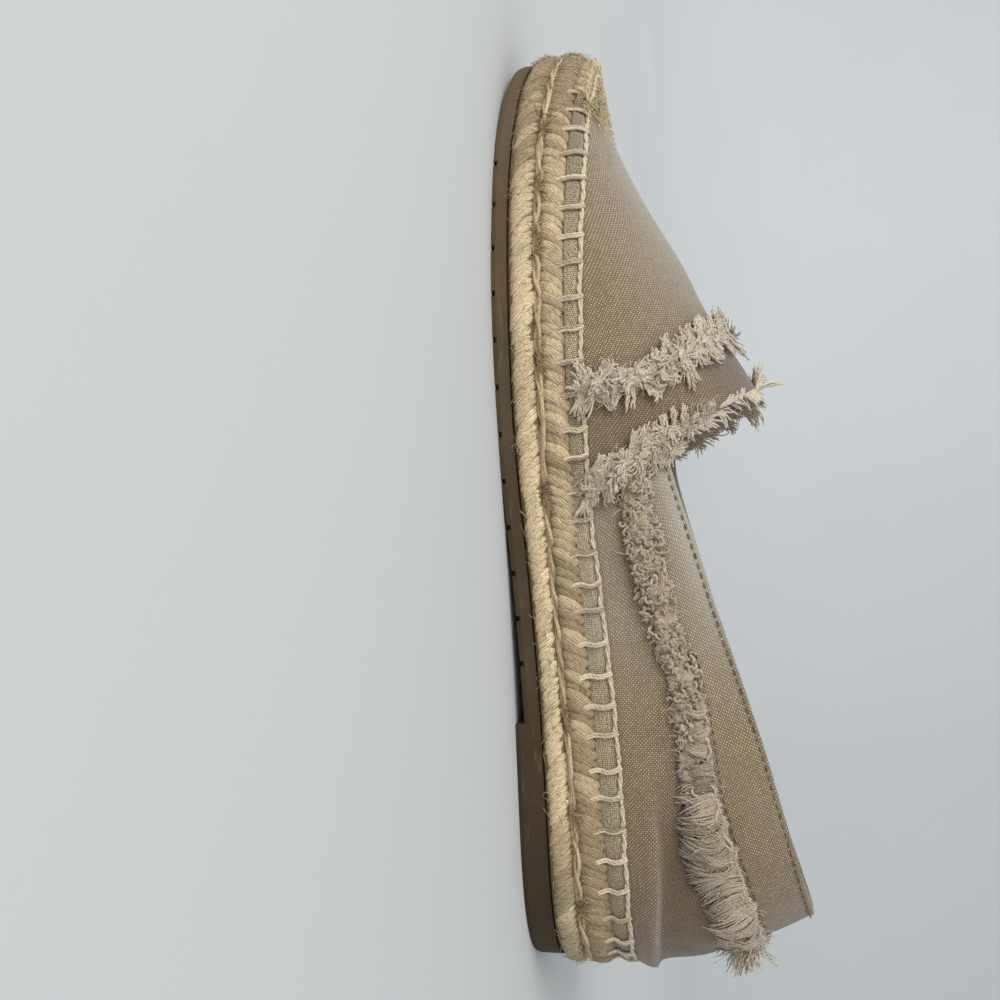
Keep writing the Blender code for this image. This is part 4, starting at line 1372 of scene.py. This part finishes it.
def build_collar_fringe():
    """Hangs from the collar band's lower edge, matted in front, combed behind."""
    dense = np.linspace(-FOOT, FOOT, 1500)
    pd = side_wall(dense, collar_edge(foot_x(dense)))
    run = np.concatenate([[0.0], np.cumsum(np.linalg.norm(np.diff(pd, axis=0), axis=1))])
    total = run[-1]
    # matted roll below the root
    at = np.arange(0.5, total - 0.5, 0.5)
    tau = np.interp(at, run, dense)
    x = foot_x(tau)
    height = topline_z(np.clip(x, -109, 15)) - 18.0
    s = collar_edge(x) - (3.3 - 0.4 * np.sin(at * 0.21)) / height
    behind = smooth(-x, 42.0, 62.0)
    w = 3.1 + 0.4 * np.sin(at * 0.35) + 0.3 * np.sin(at * 0.83 + 1) + 0.6 * behind
    h = 1.5 + 0.25 * np.sin(at * 0.52 + 2) - 0.3 * behind
    core = matted_core(on_side, tau, s, w, h, 0.8, "collar", bump=0.75)
    curly, combed = [core], []
    for count, h0, h1, l_lo, l_hi in ((1050, 0.5, 1.0, 1.7, 2.8), (1050, 1.2, 1.0, 1.5, 2.6)):
        at = np.sort(rng.uniform(0, total, count))
        tau0 = np.interp(at, run, dense)
        keep = foot_x(tau0) > -58.0
        tau0 = tau0[keep]
        n = len(tau0)
        x = foot_x(tau0)
        height = topline_z(np.clip(x, -109, 15)) - 18.0
        tf = Tufts(n, 4)
        drop = rng.uniform(-0.4, 6.9, n)
        s0 = collar_edge(x) - drop / height
        crown = 0.7 + 1.5 * np.sqrt(np.clip(1 - ((drop - 3.3) / 3.5) ** 2, 0, 1))
        curly.append(yarns(on_side, side_wall, tau0, s0, tf.draw(0.0, 2.4, 0.5), tf.pick(l_lo, l_hi),
                           rng.uniform(0.32, 0.50, n), crown + h0 - 1.0 + rng.uniform(0, 0.8, n),
                           h1 * rng.uniform(-1.0, 0.5, n),
                           np.sign(rng.normal(0, 1, n)) * rng.uniform(1.6, 3.6, n), rng.uniform(0.02, 0.08, n),
                           K=7, flare=1.0, tint=np.clip(tf.draw(0.55, 0.22, 0.8), 0, 1)))
    for count, h0, hump, l_lo, l_hi in ((1200, 0.5, 1.7, 10.2, 12.8), (1100, 0.9, 2.4, 9.2, 12.4)):
        at = np.sort(rng.uniform(0, total, count * 2))
        at = at[foot_x(np.interp(at, run, dense)) < -50.0]
        tau0 = np.interp(at, run, dense)
        n = len(tau0)
        x = foot_x(tau0)
        tf = Tufts(n, 20)
        centre = np.bincount(tf.which, at) / np.bincount(tf.which)
        off = np.clip(at - centre[tf.which], -3.0, 3.0)
        s0 = collar_edge(x) + rng.normal(0.004, 0.005, n)
        # runs of locks bow one way and the next run the other way
        bow = np.tanh(2.2 * np.sin(2 * np.pi * np.abs(at - total / 2) / 27.0 + 0.6))
        reach = 0.62 + 0.38 * smooth(-x, 56.0, 88.0)
        length = tf.pick(l_lo, l_hi, 0.05) * reach
        sg = np.where(tau0 >= 0, 1.0, -1.0)
        ang = -np.pi / 2 + sg * (0.66 * bow - 0.15) + tf.draw(0.0, 0.22, 0.3) - 0.45 * off / length
        curl = -sg * 1.75 * bow + tf.draw(0.0, 0.42, 0.2)
        combed.append(yarns(on_side, side_wall, tau0, s0, ang, length,
                            rng.uniform(0.13, 0.25, n), h0 + tf.pick(0.0, 0.6), -h0 - 0.7 - tf.pick(0.0, 0.5), curl,
                            rng.uniform(0.02, 0.09, n), K=9, flare=2.4, wave_len=4.0, hump=hump, sides=3,
                            tint=np.clip(tf.draw(0.55, 0.30, 0.4) + 0.36 * smooth(-x, 68, 104), 0, 1)))
    # fluffy end at the back of the heel
    n = 760
    tf = Tufts(n, 16)
    tau0 = np.sort(rng.normal(0.035, 0.085, n))
    s0 = collar_edge(foot_x(tau0)) + rng.normal(-0.015, 0.02, n)
    tail = yarns(on_side, side_wall, tau0, s0, tf.draw(-np.pi / 2, 0.30, 0.6), tf.pick(6.0, 10.5, 0.15),
                 rng.uniform(0.11, 0.20, n), 0.6 + tf.pick(0.0, 1.4), rng.uniform(0.5, 7.0, n),
                 tf.draw(0.0, 0.8, 0.6), rng.uniform(0.10, 0.30, n), K=9, flare=1.2, wave_len=2.8,
                 sides=3, tint=np.clip(tf.draw(0.95, 0.08, 0.5), 0, 1))
    strands("fringe_heel_tuft", [tail], MAT["fringe"])
    # loose loops that run along the root
    m = 260
    for seed, lo, hi, drop, amp in ((0, -100.0, -52.0, 0.8, 0.7), (1, -112.0, -70.0, 1.8, 1.1), (2, -86.0, -58.0, 3.6, 1.6)):
        x = np.linspace(lo, hi, m)
        tau0 = turn(x)
        height = topline_z(np.clip(x, -109, 15)) - 18.0
        off = drop + amp * np.sin(x * 0.55 + seed) + 0.5 * amp * np.sin(x * 1.3 + 2 * seed)
        c, up = on_side(tau0, collar_edge(x) - off / height, 2.0 + 0.5 * np.sin(x * 0.9 + seed))
        r = np.full((1, m), 0.34)
        combed.append(tubes(c[None], up[None], r, r, 6, np.array([0.9])))
    strands("collar_fringe_matted", curly, MAT["fringe_worn"])
    strands("collar_fringe_combed", combed, MAT["fringe_worn"])


def build_fluff():
    """Fine hairs that stand off the fringe yarns."""
    parts = []
    for side, count in ((1, 430), (-1, 240)):
        for place, foot_of, s_hi in ((on_arch, vamp_edge_foot, 1.0),
                                     (on_arch, lambda s: INSTEP_BASE_X + 0.8 + 0 * s, 0.5 if side > 0 else 0.9)):
            s0 = rng.uniform(0.03, s_hi, count)
            foot = foot_of(s0) + rng.normal(0, 2.2, count)
            if s_hi < 1.0:
                foot = np.maximum(foot, INSTEP_BASE_X + 0.2)
            parts.append(yarns(place, arch, side * turn(foot), s0, rng.uniform(0, 2 * np.pi, count),
                               rng.uniform(1.5, 4.0, count), rng.uniform(0.06, 0.11, count),
                               rng.uniform(0.8, 2.4, count), rng.uniform(-0.3, 1.5, count),
                               rng.normal(0, 1.4, count), np.zeros(count), K=5, sides=3,
                               tint=rng.uniform(0.6, 1.0, count)))
    n = 1500
    tau0 = rng.uniform(-FOOT, FOOT, n)
    tau0 = tau0[(foot_x(tau0) < -52.0) | (rng.uniform(0, 1, n) < 0.45)]
    n = len(tau0)
    x = foot_x(tau0)
    height = topline_z(np.clip(x, -109, 15)) - 18.0
    s0 = collar_edge(x) - rng.uniform(-0.4, 7.6, n) / height
    parts.append(yarns(on_side, side_wall, tau0, s0, rng.uniform(0, 2 * np.pi, n), rng.uniform(1.2, 3.6, n),
                       rng.uniform(0.06, 0.11, n), rng.uniform(1.4, 3.2, n), rng.uniform(-0.3, 0.9, n),
                       rng.normal(0, 1.6, n), np.zeros(n), K=5, sides=3, tint=rng.uniform(0.5, 1.0, n)))
    return strands("fringe_fluff", parts, MAT["fringe"])


build_vamp_fringe()
build_throat_fringe()
build_collar_fringe()
build_fluff()


# ------------------------------------------------------------- jute fuzz
def build_fuzz():
    """Loose jute fibres along both rows."""
    T, K = 1700, 5
    ell0 = rng.uniform(0, GIRTH, T)
    # far more of them round the toe
    toe = rng.uniform(0, 1, T) < 0.34
    ell0 = np.where(toe, np.mod(rng.normal(0, 26.0, T), GIRTH), ell0)
    lv0 = rng.uniform(0.05, 1.0, T)
    q = np.linspace(0, 1, K)[None, :]
    ang = rng.uniform(-0.9, 0.9, T)[:, None] + rng.normal(0, 0.8, T)[:, None] * q
    length = rng.uniform(1.5, 5.0, T)[:, None]
    ell = ell0[:, None] + np.cos(ang) * length * q * np.sign(rng.normal(0, 1, T))[:, None]
    lv = lv0[:, None] + np.sin(ang) * length * q / 13.0
    out = 0.1 + rng.uniform(0.1, 1.6, T)[:, None] * q ** 1.3
    c, up = braid_point(ell, np.clip(lv, 0.02, 1.05), out)
    r = np.full((T, K), 0.085) * (1 - 0.5 * q)
    return strands("jute_fuzz", [tubes(c, up, r, r, 3)], MAT["jute"])


build_fuzz()


def build_toe_wrap():
    """Jute drawn up over the toe as far as the blanket stitch."""
    K = 7
    q = np.linspace(0, 1, K)
    parts = []
    # side, from x, least and most length (0: up to the stitch), lift, girth, count
    for sd, x_lo, l_lo, l_hi, lift, r0, count in ((1, 105.0, 0.0, 0.0, 0.55, 0.72, 60),
                                                  (1, 107.0, 5.5, 17.0, 0.15, 0.48, 150),
                                                  (-1, 102.5, 5.0, 6.5, 0.5, 0.70, 80),
                                                  (-1, 104.0, 6.0, 17.0, 0.2, 0.56, 150)):
        # as dense at the very tip as beside it
        t_lo = float(turn(x_lo))
        t0 = np.sort(t_lo + (np.pi - 0.012 - t_lo) * rng.uniform(0, 1, count) ** 0.9)
        x = foot_x(t0)
        tau0 = sd * t0
        if l_hi:
            top = l_lo + (l_hi - l_lo) * smooth(x, x_lo, 114.5) * rng.uniform(0.6, 1.0, count)
        else:
            top = stitch_height(x) - 0.4
        length = top[:, None] * q
        drift = rng.normal(0.0, 0.04, count)[:, None] * q
        along = sd * np.minimum(np.abs(tau0[:, None] + drift), np.pi - 0.004)
        p, n = canvas_at_arc(along, length, 0 * length)
        bulge = lift + 0.45 * np.sin(np.pi * q) - 0.7 * q ** 6 + rng.normal(0, 0.15, (count, 1))
        if sd < 0:
            bulge = bulge + rng.uniform(-0.5, 0.6, (count, 1)) * q
        p = p + n * bulge[..., None]
        p[:, 0, 2] -= 1.2
        r = np.full((count, K), r0) * (1 - 0.25 * q ** 3)
        parts.append(tubes(p, n, r * 1.15, r * 0.8, 5, row_tint(x, count, 0.20)))
    # loose fibres all over it
    n = 1300
    sd = np.where(rng.uniform(0, 1, n) < 0.5, 1.0, -1.0)
    x = 100.0 + (HALF - 0.8 - 100.0) * rng.uniform(0, 1, n) ** 0.7
    tau0 = sd * turn(x)
    arc0 = rng.uniform(0.0, 1.0, n) * (stitch_height(x) - 0.2) * np.where(sd > 0, 2.3, 2.3)
    K = 5
    q = np.linspace(0, 1, K)
    ang = rng.uniform(0, 2 * np.pi, n)
    ln = rng.uniform(1.5, 4.5, n)
    tau = tau0[:, None] + np.cos(ang)[:, None] * ln[:, None] * q / 60.0
    arc = np.maximum(arc0[:, None] + np.sin(ang)[:, None] * ln[:, None] * q, 0.0)
    p, nn = canvas_at_arc(tau, arc, 0.0)
    lift = np.where(sd > 0, 1.0, 1.0)[:, None] + rng.uniform(0.0, 1.2, n)[:, None] * q - 0.3
    r = np.full((n, K), 0.09)
    parts.append(tubes(p + nn * lift[..., None], nn, r, r, 3, rng.uniform(0.4, 1.0, n)))
    strands("jute_toe_wrap", parts, MAT["jute"])


build_toe_wrap()


# -------------------------------------------------- finishes of the solids
def give(node, mat):
    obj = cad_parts[node]
    if not obj.material_slots:
        obj.data.materials.append(mat)
    for slot in obj.material_slots:
        slot.material = mat


give("outsole", MAT["rubber"])
# the midsole's darker jute stands for the shade between the strands: painted shade
give("jute_midsole", MAT["jute_core"])
give("insole", MAT["footbed"])


# --------------------------------------------------- floor, light, camera
def build_floor():
    """Pale floor that sweeps up into a plain backdrop."""
    pts = [(1.5, 0.0)]
    for k in range(13):
        a = math.pi / 2 * k / 12
        pts.append((-0.9 - 0.6 * math.sin(a), 0.6 - 0.6 * math.cos(a)))
    pts.append((-1.5, 3.0))
    verts, faces = [], []
    for y, z in pts:
        verts += [(-2.5, y, z), (2.5, y, z)]
    for i in range(len(pts) - 1):
        faces.append((2 * i, 2 * i + 1, 2 * i + 3, 2 * i + 2))
    mesh = bpy.data.meshes.new("floor_sweep")
    mesh.from_pydata(verts, [], faces)
    mesh.shade_smooth()
    m = Nodes("floor_paper")
    cloud = m.noise(m.obj(), 3.0, 3.0, 0.5)
    # the rising part of the sweep catches less light, so its paper is paler
    x, y, z = m.xyz(m.obj())
    far = m.math("ADD", m.math("MULTIPLY", z, 2.2), m.math("MULTIPLY", y, -1.2), clamp=True)
    near = m.ramp(cloud, [(0.3, srgb(188, 190, 190)), (0.7, srgb(191, 193, 193))])
    back = m.ramp(cloud, [(0.3, srgb(227, 229, 229)), (0.7, srgb(230, 232, 232))])
    col = m.mix(far, near, back)
    # paper darker towards −x: painted shade
    side = m.math("MULTIPLY_ADD", x, 1.2, 0.5, clamp=True)
    col = m.mix(m.math("MULTIPLY", m.math("SUBTRACT", 1.0, side), 0.34), col, srgb(180, 184, 184))
    mesh.materials.append(m.finish(col, 0.85, None, specular=0.15))
    obj = bpy.data.objects.new("floor_sweep", mesh)
    bpy.context.scene.collection.objects.link(obj)


build_floor()


def area(name, at, look, size, power, colour):
    data = bpy.data.lights.new(name, "AREA")
    data.shape = "DISK"
    data.size = size
    data.energy = power
    data.color = colour
    obj = bpy.data.objects.new(name, data)
    bpy.context.scene.collection.objects.link(obj)
    d = np.array(look, float) - np.array(at, float)
    from mathutils import Vector
    obj.rotation_euler = Vector(d).to_track_quat("-Z", "Y").to_euler()
    obj.location = at


area("key_soft", (0.72, 0.72, 0.62), (0.02, 0.0, 0.03), 0.9, 12.5, (1.0, 0.99, 0.97))
area("fill_high", (-0.55, 0.25, 0.95), (0.02, 0.0, 0.05), 1.0, 1.8, (0.97, 0.985, 1.0))
area("fill_soft", (-0.5, 1.0, 0.4), (0.0, 0.0, 0.03), 1.2, 1.6, (0.96, 0.98, 1.0))

world = bpy.data.worlds.new("room")
bpy.context.scene.world = world
world.use_nodes = True
world.node_tree.nodes["Background"].inputs[0].default_value = (0.93, 0.965, 1.0, 1.0)
world.node_tree.nodes["Background"].inputs[1].default_value = 0.62

view = bpy.context.scene.view_settings
view.view_transform = "Standard"
view.look = "None"


def build_camera():
    """The photo's viewpoint, rolled so that the toe points up."""
    elev = math.radians(12.0)
    roll = math.radians(1.93)
    back = np.array([0.0, math.cos(elev), math.sin(elev)])
    along = np.array([1.0, 0.0, 0.0])
    rise = np.cross(along, back)
    right = -math.sin(roll) * along + math.cos(roll) * rise
    up = math.cos(roll) * along + math.sin(roll) * rise
    data = bpy.data.cameras.new("camera")
    data.sensor_width = 36.0
    data.lens = 36.0
    data.clip_start = 0.01
    cam = bpy.data.objects.new("camera", data)
    m = Matrix.Identity(4)
    for i in range(3):
        m[i][0], m[i][1], m[i][2] = right[i], up[i], back[i]
        m[i][3] = (0.0027, 0.2742, 0.0501)[i]
    cam.matrix_world = m
    bpy.context.scene.collection.objects.link(cam)
    bpy.context.scene.camera = cam


build_camera()
